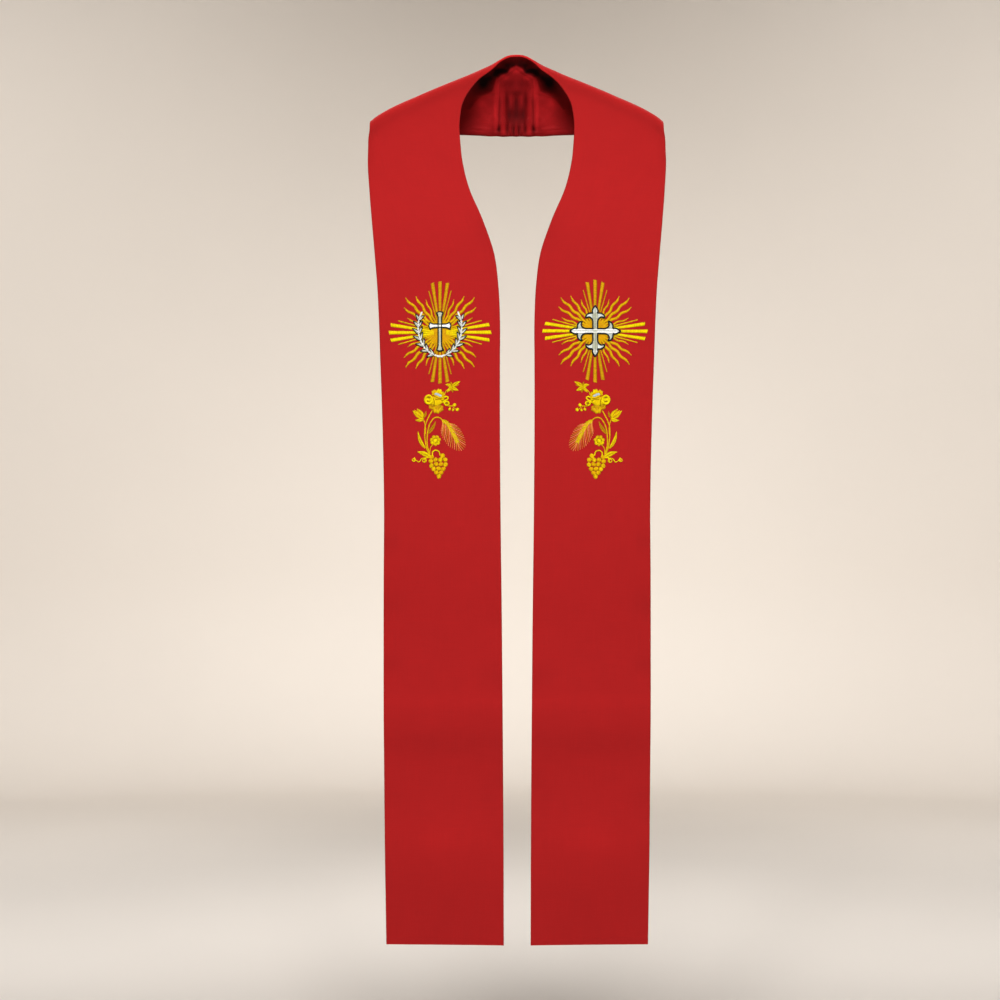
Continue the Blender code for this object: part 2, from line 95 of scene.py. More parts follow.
# Soft waves across the fronts: height of the crest, half length, how far forward.
WAVES = ((-610, 55, 1.2), (-722, 50, -1.6), (-826, 55, 2.6), (-915, 50, -2.2), (-1015, 50, 2.2))
LEVEL_FROM, LEVEL_OVER = 300, 400  # length of fall over which the lines across come level

# ---- Relief of the cloth that the solids leave out, and its painted light and shade -------------
# Slow unevenness of the cloth: length of its waves, seed, height.
UNEVEN = ((150, 3, 0.5), (42, 5, 0.11))
HELD = {"from": 2, "over": 12}  # way out in which the centre seam stops holding the cloth smooth
# Dents and swells of the outer cloth: out, height, half across, half up, how far out it stands.
DENTS = (
    (203, -8, 7, 7, -1.3), (200, -24, 9, 8, 0.8), (196, -88, 16, 22, -0.9), (190, -180, 14, 20, -0.8),
    (45, -240, 22, 26, -0.8), (128, -60, 40, 34, -1.0), (96, -140, 36, 30, 0.8), (172, -556, 16, 20, -1.0),
    (172, -662, 18, 24, -1.1), (40, -700, 26, 28, -1.0), (168, -745, 20, 26, -0.9),
    (160, -868, 30, 22, -0.9), (60, -900, 30, 40, -0.8), (102, -975, 46, 24, 1.1),
    (150, -1075, 34, 30, -0.7), (54, -1084, 30, 24, -0.6),
)
TURNED_RIDGE = 0.3       # the turned-in edge shows through as a step of this height
RIDGE_SOFT = 1.4         # and falls away over this
EDGE_ROUND = 1.5         # the step starts this far in from the fold of the edge
# Painted light and shade on the outer cloth, for the shading of its folds and dents: out, height, half
# across, half up, change of tone.
OUTER_PAINTED_SHADING = (
    (178, -583, 18, 17, -0.08), (178, -672, 20, 18, -0.09), (178, -752, 22, 14, -0.08),
    (100, -801, 140, 11, 0.055), (100, -858, 150, 22, -0.07), (176, -932, 24, 15, -0.05),
    (30, -920, 24, 26, -0.05), (105, -990, 46, 21, 0.09), (30, -766, 24, 17, -0.05),
    (40, -158, 15, 34, -0.09), (172, -1030, 20, 30, -0.02), (200, -250, 26, 60, 0.015),
    (196, -330, 24, 40, -0.03), (188, -420, 22, 40, -0.02), (100, -380, 160, 190, 0.035),
    (100, -1110, 160, 80, -0.085), (100, -900, 400, 420, -0.05),
)
# Painted highlight along the top fold, with a faint painted shade below it: how far below it, half width,
# change of tone.
RIM_PAINTED_HIGHLIGHT = ((0, 9, 0.62), (20, 8, -0.07))
TURNED_TONE = -0.52      # the turned-in edge behind the neck lies in shade
# Painted light and shade of the lining behind the neck, for its lit folds and the shade in its hollows, in
# the same columns.
LINING_PAINTED_SHADING = (
    (0, 33, 9, 15, -0.70), (12, 32, 5.5, 15, -0.55), (0, 52, 4.4, 9, -0.50), (14.5, 53, 4, 10, -0.48),
    (8, 49, 2, 7, 0.12), (4, 63, 9, 5, -0.30), (9, 76, 12, 8, -0.36), (5, 9, 10, 11, -0.42),
    (0, 11, 1.7, 10, 0.36), (3.8, 8, 1.5, 8, -0.22), (9, 12, 1.8, 9, 0.24), (14, 11, 1.9, 8, -0.36),
    (19.5, 10, 3, 9, 0.42), (26, 11, 2.8, 6, -0.70), (33, 8, 5, 6, -0.22), (42, 5, 14, 6, -0.12),
    (26, 40, 3.2, 30, -0.34), (22, 36, 3, 22, 0.34), (31, 34, 3, 24, 0.60), (29, 68, 5, 12, 0.80),
    (50, 76, 13, 17, -0.88), (25, 92, 12, 4, -0.95), (15, 99, 9, 4.5, -0.70), (31, 86, 5, 4, -0.60),
    (18, 84, 5, 3, 0.60), (4, 99, 5, 3.5, -0.35), (0, 93, 8, 3, 0.80), (50, 30, 13, 30, 0.26),
    (44, 57, 9, 4.5, 0.80), (53, 49, 7, 9, 0.90), (0, 104, 26, 5, -0.40), (40, 32, 9, 24, 0.10),
    (58, 60, 10, 8, -0.38), (47, 73, 9, 8, -0.24), (39, 80, 6, 5, -0.24), (27, 89, 6, 4, -0.20),
    (68, 44, 7, 9, -0.10), (37, 84, 7, 6, -0.35), (17, 91, 5, 4, -0.22), (13, 95, 3, 2.5, -0.20),
)
DEEPEST_PAINTED_SHADE = -0.97          # the lining's painted light and shade deepen its tone by no more than this
# Out and height of the line where the shade behind the neck meets the lit folds, and its step of tone.
SHADE_LINE = (
    (0, 100), (3.5, 98.8), (8, 96.8), (11, 94.5), (14.5, 90.5), (24, 86.5), (30.5, 82.5), (32, 77),
    (33.2, 73), (34.6, 68), (36.5, 63.5), (43, 60), (51, 56), (57, 51), (62, 46), (68, 37),
)
SHADE_STEP = {"lit": 0.62, "shaded": -0.26, "edge": 0.6, "fade": 3.6}
# Folds of the lining behind the neck, by (out, height). Creases: two ends, half width, lift.
CREASES = (
    ((28.6, 12), (28.6, 64), 1.7, 1.3), ((22.6, 14), (22.6, 60), 1.9, 0.9), ((31, 62), (27, 83), 2.4, 1.7),
    ((27, 83), (13, 91), 2.2, 1.5), ((13, 91), (0, 98), 2.2, 1.2), ((24, 80), (17, 62), 1.8, 0.9),
    ((18, 27), (7.5, 3), 1.6, 1.5), ((10, 18), (4, 2), 1.3, 1.0), ((60, 12), (36, 8), 2.4, 0.8),
    ((64, 40), (34, 13), 4.5, 1.1), ((52, 50), (33, 24), 4.0, 0.8), ((57, 57), (34, 61), 2.6, 1.6),
    ((70, 6), (20, 5.4), 1.2, 0.9), ((70, 10.5), (38, 9.5), 1.0, 0.6), ((8, 36), (8, 58), 2.2, 0.9),
)
# A raised panel in the middle, a hollow in it and gathers at its lower edge. Each ends softly.
PANEL = {"reach": 29.5, "side": 3.2, "foot": 14, "rise": 10, "low": 0.2, "top": 96, "lean": 0.35, "fade": 9,
         "lift": 2.4}
HOLLOW = {"reach": 16, "side": 3.6, "foot": 16, "rise": 26, "head": 62, "fade": 9, "depth": 1.92}
GATHERS = {"reach": 10, "side": 3, "head": 15, "fade": 6, "pitch": 4.4, "lift": 0.8}
FOLDS = {"reach": 78, "side": 8, "foot": 1.5, "rise": 3, "slack": 0.8}
PUCKERS = {"size": 17, "seed": 8, "across": 1.3, "up": 0.6, "lift": 0.5, "reach": 75}
LOOSE = {"size": 60, "seed": 9, "lift": 0.5}

# ---- Sections of the cloth's meshes -------------------------------------------------------------
ACROSS_PARTS = 46        # quads across each face of the outer cloth
LINING_PARTS = 88        # points across the lining
WIDTH_SAMPLES = 21       # places across a line at which its length is measured
NECK_SECTIONS = {"outer": (60, 1.5), "lining": (105, 1.25)}  # close together as far as this, and their step
HEM_SECTIONS = (6, 3.5, 1.2, 0.4, 0)  # above the hem
LINING_STEP = 2          # the lining's other sections are this many times further apart

# ---- Embroidery: places and sizes ---------------------------------------------------------------
SUNBURST_AT = {"right": (105.5, -297.7), "left": (106.4, -295.8)}
SPRIG_FROM_SUNBURST = {"right": (4.9, -91.4), "left": (4.2, -93.5)}
SEEDS = {"sunburst": 11, "emblem": 21, "sprig": 31}
GOLD_FLOSS = ("gold_floss", 0.42, 0.03)  # material, roughness, specular level
SILVER_FLOSS = ("silver_floss", 0.36, 0.22)
THREAD_FULLNESS = 0.62   # half width of a thread, as a part of the pitch
THREAD_FLANK = 0.55      # height of a thread's sides, as a part of its rise
STITCH_FOOT = 0.05       # the ends of a stitch lie this far off the cloth
TONE_SPREAD = 0.09       # spread of tone from one stitch to the next
DIVE_SHADE = 0.55        # painted shade of a thread where it dives into the cloth
CREST_SHADE = 1.06       # and painted highlight along its back
RAGGED = 0.12            # the ends of satin stitches stray this far
ARCH = {"part": 0.45, "least": 0.5, "most": 1.3}  # length over which a stitch rises, as a part of its own
# The four points of each short stitch of a cord: place along it, half width, rise and tone, deeper at its
# ends as painted shade.
CORD = tuple(np.array(row) for row in ((-1, -0.4, 0.4, 1), (0.45, 0.85, 0.85, 0.45), (0.45, 1, 1, 0.45),
                                       (0.8, 1.05, 1.05, 0.8)))

# One quarter of each sunburst, from the upright ray to the level one: angle, length, half width, kind.
RAYS = {
    "right": (
        (0, 69.2, 2.6, "broad"), (8.7, 68, 2.5, "broad"), (15, 58.5, 1.2, "fine"),
        (23.6, 48.6, 1.3, "wavy"), (34.3, 59.3, 1.75, "wavy"), (45.2, 66.6, 1.85, "wavy"),
        (55.8, 59.5, 1.75, "wavy"), (66.6, 48.2, 1.3, "wavy"), (74.2, 59, 1.2, "fine"),
        (81.1, 67.8, 2.5, "broad"), (90, 69.6, 2.6, "broad"),
    ),
    "left": (
        (0, 69.6, 2.6, "broad"), (9.2, 67.2, 2.5, "broad"), (16.2, 58, 1.2, "fine"),
        (24.7, 47, 1.3, "wavy"), (35.3, 58, 1.75, "wavy"), (46.4, 65.1, 1.85, "wavy"),
        (57, 59.4, 1.75, "wavy"), (69, 48.8, 1.3, "wavy"), (75, 60, 1.2, "fine"),
        (81.5, 68.8, 2.5, "broad"), (90, 71.5, 2.6, "broad"),
    ),
}
CORE = 17                # radius of the sunburst's solid core
CORE_ROWS = ((110, 1.5, 9.5), (170, 8.5, CORE))  # stitches round it, from and to this radius
RAY_START = 9            # the straight rays start this far from the middle, under the core
WAVE = {"pitch": 17.5, "swing": 1.15, "phase": 0.9}

# Half of one arm of the even cross, (aside, along): its stem, the leaf at its tip, and a side leaf.
STEM = ((3.25, 0), (3.25, 12.8), (3.6, 15.4), (3.4, 24.8))
TIP_LEAF = ((3.4, 24.8), (3.9, 27.0), (3.5, 29.3), (2.1, 31.9), (0, 34.6))
SIDE_LEAF = (
    (3.25, 12.8), (4.2, 15.8), (5.8, 17.9), (8.0, 19.0), (10.3, 19.0), (12.8, 18.2), (12.5, 20.6),
    (10.6, 22.9), (8.0, 24.2), (5.2, 24.4), (3.4, 24.8),
)
OUTLINE_RADIUS = 1.05
EMBLEM_FOOT = 0.75       # the emblem's stitches start on top of the sunburst's
UPRIGHT_SHADE = np.array((0.56, 0.56, 0.44))  # stitches that lie level send less light forward
LEAF_SHADE = {"upright": np.array((0.74, 0.77, 0.76)), "level": np.array((0.54, 0.58, 0.54))}
GROOVE_SHADE = (0.36, 0.38, 0.30)  # along the middle of an upright arm

# The palm branch's rib from its foot to its tip, and the tall cross: its ends, the height of its bar,
# how far the bar reaches, half the width of each, and half the width of their splayed ends.
PALM_RIB = ((-2.5, -33), (7, -31), (18, -24), (26, -12), (29.5, 2), (29, 16), (25, 27))
LEAFLET = {"pairs": 7, "length": 12.5, "width": 3.6, "turn": 36, "bend": 0.8}
TALL_CROSS = {"foot": -24, "head": 27, "bar": 9, "reach": 13.5, "half": 2.3, "splay": 4.2, "tip": 1.4}

# The sprig, with the middle of its rose at (0, 0). Leaves: foot, tip, width, bend, tones.
LEAVES = (
    ((18, -25), (14.1, -16.1), 3.8, 0.8, "deep"), ((17, -26), (28.6, -28.3), 5.2, -1.2, "bright"),
    ((18.4, -26), (32.4, -15.4), 6.6, -0.6, "bright"), ((18.6, -25.5), (26.6, -12.8), 7.6, 0.5, "warm"),
    ((20, -25), (30.2, -14.6), 5.0, 0, "warm"), ((11.4, -47), (0.9, -30.2), 4.4, 1.0, "deep"),
    ((15, -67), (25, -44), 4.6, -2.4, "bright"), ((8, -80), (26, -71.6), 6.6, 1.4, "bright"),
    ((-21, 17), (-32.5, 24.5), 4.8, -0.6, "bright"), ((-21, 17), (-30, 12.5), 5.0, 0.6, "bright"),
    ((-21, 18), (-19.5, 24), 3.0, 0.3, "deep"), ((-20.5, 17.5), (-12.5, 20), 4.4, 0.9, "bright"),
    ((-20.5, 18), (-14.5, 9.8), 4.4, -0.4, "bright"), ((-21, 17), (-22.5, 9.5), 3.6, 0.0, "deep"),
    ((-24, 18.6), (-31, 20), 3.0, 0, "deep"),
)
STEMS = (
    ((6, -16), (11, -25), (15, -35), (16, -47), (15, -58), (13, -68), (8, -78)),
    ((-9, -29), (-4, -25), (2, -25), (7, -30), (11, -40), (12.5, -52), (12.5, -63), (9, -74)),
    ((3, -60), (8, -66), (9, -73)), ((15, -47), (15, -37), (17, -29)), ((-11, 6), (-13, 11), (-16, 14)),
    ((-15, -9), (-20, -9), (-24, -8)), ((-18, -9), (-19, -12)), ((-21, -9), (-26, -13)),
)
MAIN_STEMS = 2           # this many, the first ones, are thick
TENDRILS = (
    ((9, -79), (14, -80), (20, -81), (24, -85.5), (28, -83), (30, -80)),
    ((-5, -76), (-3.5, -71.5), (1, -69.5), (5, -72), (5.5, -77)),
)
CURLS = ((16.6, -83.3, 3.1), (31, -82.7, 2.5))  # middle and size
BERRIES = ((-25, -7.5, 2.3), (-28.8, -13.8, 2.3), (-23, -14.2, 1.7), (-18.2, -13.4, 1.9))
GRAPES = (
    (-8.5, -77), (6.5, -79), (-12, -82.5), (-5.5, -82.5), (1, -82.5), (7.5, -84.5), (-12.5, -89),
    (-6.3, -88.6), (0.3, -88.6), (6.8, -90.5), (-9.5, -95), (-3, -94.6), (3.6, -95), (-6.4, -100),
    (0, -100), (-3.6, -105),
)
GRAPE_RADIUS = 3.15
FLOWER = {"middle": (1.4, -56.2), "radius": 7.5, "petals": 7}
# The ear: its line from the stalk to the tip, and the curve on which its awns end, from side to side.
EAR_LINE = ((-8.5, -28.6), (-14.5, -32.6), (-19.4, -39.5), (-23.6, -47.5), (-27.8, -56.6))
AWN_ENDS = (
    (-6.2, -43), (-8.3, -50.5), (-12.6, -58), (-17.6, -64), (-23, -67), (-29, -69.6), (-35, -69.5),
    (-39, -65), (-39.2, -58), (-37.4, -51), (-34.2, -44.5), (-30.4, -38.4), (-25, -34.5),
)
EAR = {"grains": 10, "awns": 27}

# ---- Stage --------------------------------------------------------------------------------------
CAMERA_AT = (-23.5, -526.6)  # out and up, level with the middle of the view
VIEW_HEIGHT = 1364.8     # of the view at the front of the stole
FRONT_PLANE = -106       # the camera's distance is measured from here
SENSOR = 36
# The rest of the stage is in metres.
FLOOR_AT = -1.46
ROOM = {"radius": 5.4, "cove": 0.7, "top": 4.2, "segments": 120}
ROOM_TINT = (1, 0.98, 0.95)
# Each lamp: name, place, what it points at, size, the beam it is held to in degrees, share of the key
# light's power, and tint.
LIGHTS = (
    ("key_right", (-0.8, -4.55, 2.15), (0, 0, -0.4), 0.62, 46, 0.307, (1, 0.985, 0.97)),
    ("key_middle", (-0.2, -4.6, 2.15), (0, 0, -0.4), 0.62, 46, 0.316, (1, 0.985, 0.97)),
    ("key_left", (0.4, -4.6, 2.15), (0, 0, -0.4), 0.62, 46, 0.307, (1, 0.985, 0.97)),
    ("fill", (2.0, -2.2, 2.3), (0, 0, -0.5), 0.9, 40, 0.03, (1, 0.99, 0.98)),
    ("back_right", (-0.9, 3.4, 1.5), (0, 0, -0.5), 0.9, 50, 0.15, (1, 0.99, 0.97)),
    ("back_left", (0.9, 3.4, 1.5), (0, 0, -0.5), 0.9, 50, 0.13, (1, 0.99, 0.97)),
    ("wall_right", (-2.4, 0.8, 1.9), (-1.9, 5.0, -0.45), 0.9, 66, 0.448, (1, 0.98, 0.955)),
    ("wall_left", (2.4, 0.8, 1.9), (1.9, 5.0, -0.45), 0.9, 66, 0.448, (1, 0.98, 0.955)),
    ("wall_top", (0, 1.2, 2.6), (0, 5.4, 0.75), 0.9, 80, 0.152, (1, 0.95, 0.89)),
    ("floor_right", (-1.6, 0.6, 2.6), (-0.95, 2.3, -1.46), 0.6, 44, 0.36, (1, 1, 1)),
    ("floor_left", (1.6, 0.6, 2.6), (0.95, 2.3, -1.46), 0.6, 44, 0.36, (1, 1, 1)),
    ("wall_front", (0, -3.4, 2.8), (0, -5.4, -0.4), 2.0, 0, 0.05, (1, 0.98, 0.96)),
    ("side_right", (-3.0, -1.2, 2.8), (-5.4, -1.6, -0.6), 2.0, 0, 0.045, (1, 0.98, 0.96)),
    ("side_left", (3.0, -1.2, 2.8), (5.4, -1.6, -0.6), 2.0, 0, 0.045, (1, 0.98, 0.96)),
)
BEAM_POWER = 4           # a beam lamp of the same brightness takes this many times the power


def linear(red, green, blue):
    """A screen colour, 0 to 255, as the shader's linear one."""
    parts = np.array([red, green, blue]) / 255
    return tuple(np.where(parts <= 0.04045, parts / 12.92, ((parts + 0.055) / 1.055) ** 2.4).tolist())


AWN_TONES = (linear(222, 122, 44), linear(240, 148, 92), linear(212, 150, 52))


# ---- Settings that a user would change ----------------------------------------------------------

def colour_setting(name, description, default):
    """A colour that the user picks."""
    return bpy.props.FloatVectorProperty(name=name, description=description, default=default, subtype="COLOR",
                                         size=3, min=0, max=1)


class StoleCloth(bpy.types.PropertyGroup):
    cloth_colour: colour_setting("Outer cloth", "Colour of the woven outer cloth", linear(167, 26, 27))
    lining_colour: colour_setting("Lining", "Colour of the satin lining", linear(139, 21, 24))
    weave_pitch: bpy.props.FloatProperty(
        name="Weave", description="Distance between the threads of the outer cloth", unit="LENGTH",
        default=0.0006, min=0.0002, max=0.005, precision=5)
    station_step: bpy.props.FloatProperty(
        name="Mesh step", description="Distance between the cloth's sections", unit="LENGTH",
        default=0.004, min=0.002, max=0.05, precision=4)


class StoleEmbroidery(bpy.types.PropertyGroup):
    bright_gold: colour_setting("Bright gold", "Colour of the level rays and the leaves", linear(226, 204, 6))
    # on the upright rays, whose stitches lie level, this deeper gold is painted shade of the bright gold
    olive_gold_and_ray_shade: colour_setting("Olive gold", "Colour of the upright rays", linear(196, 148, 12))
    orange_gold: colour_setting("Orange gold", "Colour of the wavy rays and the core", linear(204, 150, 8))
    silver: colour_setting("Silver", "Colour of the silver thread", linear(238, 241, 236))
    outline: colour_setting("Outline", "Colour of the dark thread round the emblems", linear(3, 14, 13))
    thread_pitch: bpy.props.FloatProperty(
        name="Thread", description="Distance between two satin stitches", unit="LENGTH",
        default=0.00062, min=0.0003, max=0.003, precision=5)
    stitch_height: bpy.props.FloatProperty(
        name="Height", description="How far the embroidery stands off the cloth", unit="LENGTH",
        default=0.0010, min=0.0003, max=0.003, precision=4)


class StoleStage(bpy.types.PropertyGroup):
    floor_colour: colour_setting("Floor", "Colour of the floor and the wall behind", linear(222, 215, 207))
    key_power: bpy.props.FloatProperty(
        name="Key light", description="Strength of the main soft light, in watts", default=344, min=0)
    room_light: bpy.props.FloatProperty(
        name="Room light", description="Strength of the even light from above the room", default=0.02, min=0)
    camera_distance: bpy.props.FloatProperty(
        name="Camera distance", description="From the camera to the front of the stole", unit="LENGTH",
        default=3.6, min=0.5, max=20)


# ---- The worn form ------------------------------------------------------------------------------

def unit(way):
    """Directions of length one."""
    return way / np.maximum(np.linalg.norm(way, axis=-1, keepdims=True), 1e-9)


def lengths(route):
    """How far along a route each of its points lies."""
    return np.concatenate(([0], np.cumsum(np.linalg.norm(np.diff(route, axis=0), axis=1))))


def hermite(knots, values, at, level_start=False):
    """A smooth curve through a table's rows."""
    knots, values, at = np.array(knots, float), np.array(values, float), np.asarray(at, float)
    slopes = np.gradient(values, knots, axis=0)
    if level_start:
        slopes[0] = 0
    place = np.clip(np.searchsorted(knots, at, side="right") - 1, 0, len(knots) - 2)
    span = knots[place + 1] - knots[place]
    part = (at - knots[place]) / span
    if values.ndim > 1:
        span, part = span[:, None], part[:, None]
    rise, rest = part * part * (3 - 2 * part), 1 - part
    bend = rest * slopes[place] - part * slopes[place + 1]
    return values[place] * (1 - rise) + values[place + 1] * rise + bend * part * rest * span


def fall_table(fall, longest):
    """Run and drop of the cloth by its length from the ridge."""
    length = np.linspace(0, longest, FALL_SAMPLES)
    pitch = radians(fall["pitch"])
    angle = (pitch * (1 - np.exp(-length / fall["round"]))
             + (pi / 2 - pitch) * (1 - np.exp(-(length / fall["steepen"]) ** fall["power"])))
    step = np.diff(length)

    def total(slope):
        return np.concatenate(([0], np.cumsum((slope[1:] + slope[:-1]) / 2 * step)))

    return length, total(np.cos(angle)), total(np.sin(angle))


FRONT_TABLE = fall_table(FRONT_FALL, FRONT_LONGEST)
BACK_TABLE = fall_table(BACK_FALL, BACK_LONGEST)


def soft_out(out):
    """The distance out, rounded off at the centre."""
    return np.hypot(out, CENTRE_ROUND) - CENTRE_ROUND


def shrink(out):
    """The size of the falling curve, which tightens towards the shoulder."""
    return 1 - soft_out(out) * SHOULDER_SHRINK


def ridge_height(out):
    """The height of the top fold."""
    return hermite([row[0] for row in RIDGE], [row[1] for row in RIDGE], np.abs(out), level_start=True)


def bumps(across, up, rows):
    """The sum of soft round bumps: across, up, half across, half up, height."""
    return sum(high * np.exp(-((across - x) / wide) ** 2 - ((up - y) / tall) ** 2)
               for x, y, wide, tall, high in rows)


def form(out, fall):
    """The cloth's outer face, in millimetres, at a distance out and a length of fall from the ridge."""
    size = shrink(out)
    length = fall / size
    run = np.where(fall >= 0, -np.interp(length, FRONT_TABLE[0], FRONT_TABLE[1]),
                   np.interp(-length, BACK_TABLE[0], BACK_TABLE[1]))
    drop = np.where(fall >= 0, np.interp(length, FRONT_TABLE[0], FRONT_TABLE[2]),
                    np.interp(-length, BACK_TABLE[0], BACK_TABLE[2]))
    up = ridge_height(out) - drop * size
    waves = sum(forward * np.exp(-((up - height) / half) ** 2) for height, half, forward in WAVES)
    behind = RIDGE_BEHIND - RIDGE_FORWARD * soft_out(out) + run * size - np.where(fall > 0, waves, 0)
    return np.stack([out, behind, up], axis=-1)


def normal(out, fall):
    """The outward direction of the outer face."""
    nudge = 0.5
    along = form(out, fall + nudge) - form(out, fall - nudge)
    across = form(out + nudge, fall) - form(out - nudge, fall)
    return unit(np.cross(along, across))


def fall_at(out, up, on_back=False):
    """The length of fall from the ridge at which the cloth reaches a height."""
    size = shrink(out)
    length, _, drop = BACK_TABLE if on_back else FRONT_TABLE
    below = np.maximum(ridge_height(out) - up, 0) / size
    return np.interp(below, drop, length) * size * (-1 if on_back else 1)


def band_rows():
    """The band's places along it, and its lines across: neck out, neck fall, outer out, outer fall."""
    rows = np.array([(neck_out, float(fall_at(neck_out, neck_up)),
                      outer_out, float(fall_at(outer_out, outer_up, on_back)))
                     for neck_out, neck_up, outer_out, outer_up, on_back in BAND])
    return lengths(form((rows[:, 0] + rows[:, 2]) / 2, (rows[:, 1] + rows[:, 3]) / 2)), rows


KNOTS, ROWS = band_rows()
BAND_LENGTH = KNOTS[-1]


def uneven(across, along, reach, seed):
    """Slow unevenness from six crossed waves, about -1 to 1."""
    draw = np.random.default_rng(seed)
    total = 0
    for _ in range(6):
        turn, phase = draw.uniform(0, pi), draw.uniform(0, 2 * pi)
        pitch = reach * draw.uniform(0.7, 1.5)
        total = total + np.sin((across * cos(turn) + along * sin(turn)) * 2 * pi / pitch + phase)
    return total / 3


def relief(out, up, on_back):
    """How far the outer cloth's face stands off the smooth form."""
    held = np.clip((np.abs(out) - HELD["from"]) / HELD["over"], 0, 1)
    slow = sum(uneven(out, up, reach, seed) * high for reach, seed, high in UNEVEN)
    return (slow + np.where(on_back, 0, bumps(out, up, DENTS))) * held


# ---- Meshes -------------------------------------------------------------------------------------

def built(name, points, faces, material, layers=None):
    """A new smooth object from points in metres, with layers of values at its points by name."""
    mesh = bpy.data.meshes.new(name)
    mesh.from_pydata(points.tolist(), [], faces)
    mesh.shade_smooth()
    for layer, (kind, key, values) in (layers or {}).items():
        data = mesh.attributes.new(layer, kind, "POINT").data
        data.foreach_set(key, np.asarray(values, np.float32).ravel())
    mesh.materials.append(material)
    thing = bpy.data.objects.new(name, mesh)
    bpy.context.scene.collection.objects.link(thing)
    return thing


def ring_faces(sections, around):
    """Quads of a tube of closed sections."""
    faces = []
    for row in range(sections - 1):
        here, there = row * around, (row + 1) * around
        for k in range(around):
            after = (k + 1) % around
            faces.append((here + k, here + after, there + after, there + k))
    return faces


def cap(first, around, far_end):
    """Quads across an end of a wall whose two faces run there and back."""
    faces = []
    for k in range(around // 2 - 1):
        quad = (first + k, first + k + 1, first + around - 2 - k, first + around - 1 - k)
        faces.append(quad if far_end else quad[::-1])
    return faces


def levelled(line, parts):
    """(out, fall) at parts of the way across a line. Low on the fronts the height runs evenly."""
    out = line[0] + (line[2] - line[0]) * parts
    fall = line[1] + (line[3] - line[1]) * parts
    ends = ridge_height(line[[0, 2]])
    low = np.clip((fall - LEVEL_FROM) / LEVEL_OVER, 0, 1)
    return out, fall + (ridge_height(out) - ends[0] - (ends[1] - ends[0]) * parts) * low


def wall(name, side, stations, profile, face_offset, face_painted_shading, material):
    """A closed wall of cloth. profile(width, station) gives the parts of the way across and the depths
    there, out along one face and back along the other; face_offset lifts each point off the form."""
    lines = hermite(KNOTS, ROWS, stations)
    points, places, tones = [], [], []
    for line, station in zip(lines, stations):
        width = lengths(form(*levelled(line, np.linspace(0, 1, WIDTH_SAMPLES))))[-1]
        parts, depths = profile(width, station)
        out, fall = levelled(line, parts)
        outer, outward = form(out, fall), normal(out, fall)
        lift = face_offset(out, outer[:, 2], fall < 0, parts * width, width, station, depths)
        placed = outer + outward * (lift - depths)[:, None]
        placed[:, 0] = np.maximum(placed[:, 0], SEAM_CLOSE)
        if station == 0:
            placed[:, 0] = SEAM_CLOSE
        points.append(placed)
        places.append(np.stack([parts * width, np.full_like(parts, station), depths], axis=-1))
        # painted light and shade of each point, multiplied into the cloth's colour by its material
        tones.append(1 + face_painted_shading(out, outer[:, 2], fall < 0, depths))
    around = len(points[0])
    points = np.concatenate(points) * MM
    points[:, 0] *= side
    ends = cap(0, around, False) + cap((len(lines) - 1) * around, around, True)
    faces = ring_faces(len(lines), around) + ends
    if side > 0:
        faces = [face[::-1] for face in faces]
    piece = built(name, points, faces, material, {
        "cloth_place": ("FLOAT_VECTOR", "vector", np.concatenate(places) * MM),
        "painted_light_and_shade": ("FLOAT", "value", np.concatenate(tones))})
    piece.data.set_sharp_from_angle(angle=radians(60))
    return piece


# ---- Outer cloth --------------------------------------------------------------------------------

def nose(depth):
    """Half of a round folded edge, from its outer face to its fold: insets and depths."""
    turns = np.linspace(0, pi / 2, 5)
    return [(depth / 2 * (1 - sin(turn)), depth / 2 * (1 - cos(turn))) for turn in turns]


def outer_profile(width, station):
    """Across the outer cloth: round the neck edge, over the face, round the outer edge and back inside."""
    inner = EDGE_DEPTH if station > BAND_LENGTH - HEM_TURNING else CLOTH
    edge = nose(EDGE_DEPTH)
    near = [(inset / width, depth) for inset, depth in edge[::-1]]
    start, lip = edge[0][0] / width, (TURNING + LIP_BLEND) / width
    steps = np.arange(1, ACROSS_PARTS) / ACROSS_PARTS
    far = [(1 - part, depth) for part, depth in near[::-1]]
    far_back = [(part, EDGE_DEPTH - depth) for part, depth in far[::-1]][1:]
    near_back = [(part, EDGE_DEPTH - depth) for part, depth in near[::-1]][:-1]
    face = near + [(start + (1 - 2 * start) * step, 0) for step in steps] + far
    turned_in = [(1 - TURNING / width, EDGE_DEPTH), (1 - lip, inner)]
    inside = [(1 - lip - (1 - 2 * lip) * step, inner) for step in steps]
    ring = face + far_back + turned_in + inside + [(lip, inner), (TURNING / width, EDGE_DEPTH)] + near_back
    return np.array([part for part, _ in ring]), np.array([depth for _, depth in ring])


def outer_painted_shading(out, up, on_back, depths):
    """Painted light and shade: broad places on the fronts, a painted highlight along the rim of the top fold,
    and painted shade on the turned edge behind.
    """
    below = ridge_height(out) - up
    rim = sum(tone * np.exp(-((below - middle) / half) ** 2) for middle, half, tone in RIM_PAINTED_HIGHLIGHT)
    return np.where(on_back, np.where(depths > 1, TURNED_TONE, 0), bumps(out, up, OUTER_PAINTED_SHADING) + rim)


def outer_offset(out, up, on_back, across, width, station, depths):
    """Dents and unevenness on both faces, and on the outer face the step of the turned-in edges."""
    inset = np.minimum(across, width - across)
    inset = np.minimum(inset, (BAND_LENGTH - station) * TURNING / HEM_TURNING)
    turned_in = (np.clip((TURNING + RIDGE_SOFT - inset) / RIDGE_SOFT, 0, 1)
                 * np.clip(inset / EDGE_ROUND, 0, 1))
    step = TURNED_RIDGE * turned_in * turned_in * (3 - 2 * turned_in)
    return relief(out, up, on_back) + np.where(depths < CLOTH / 2, step, 0)


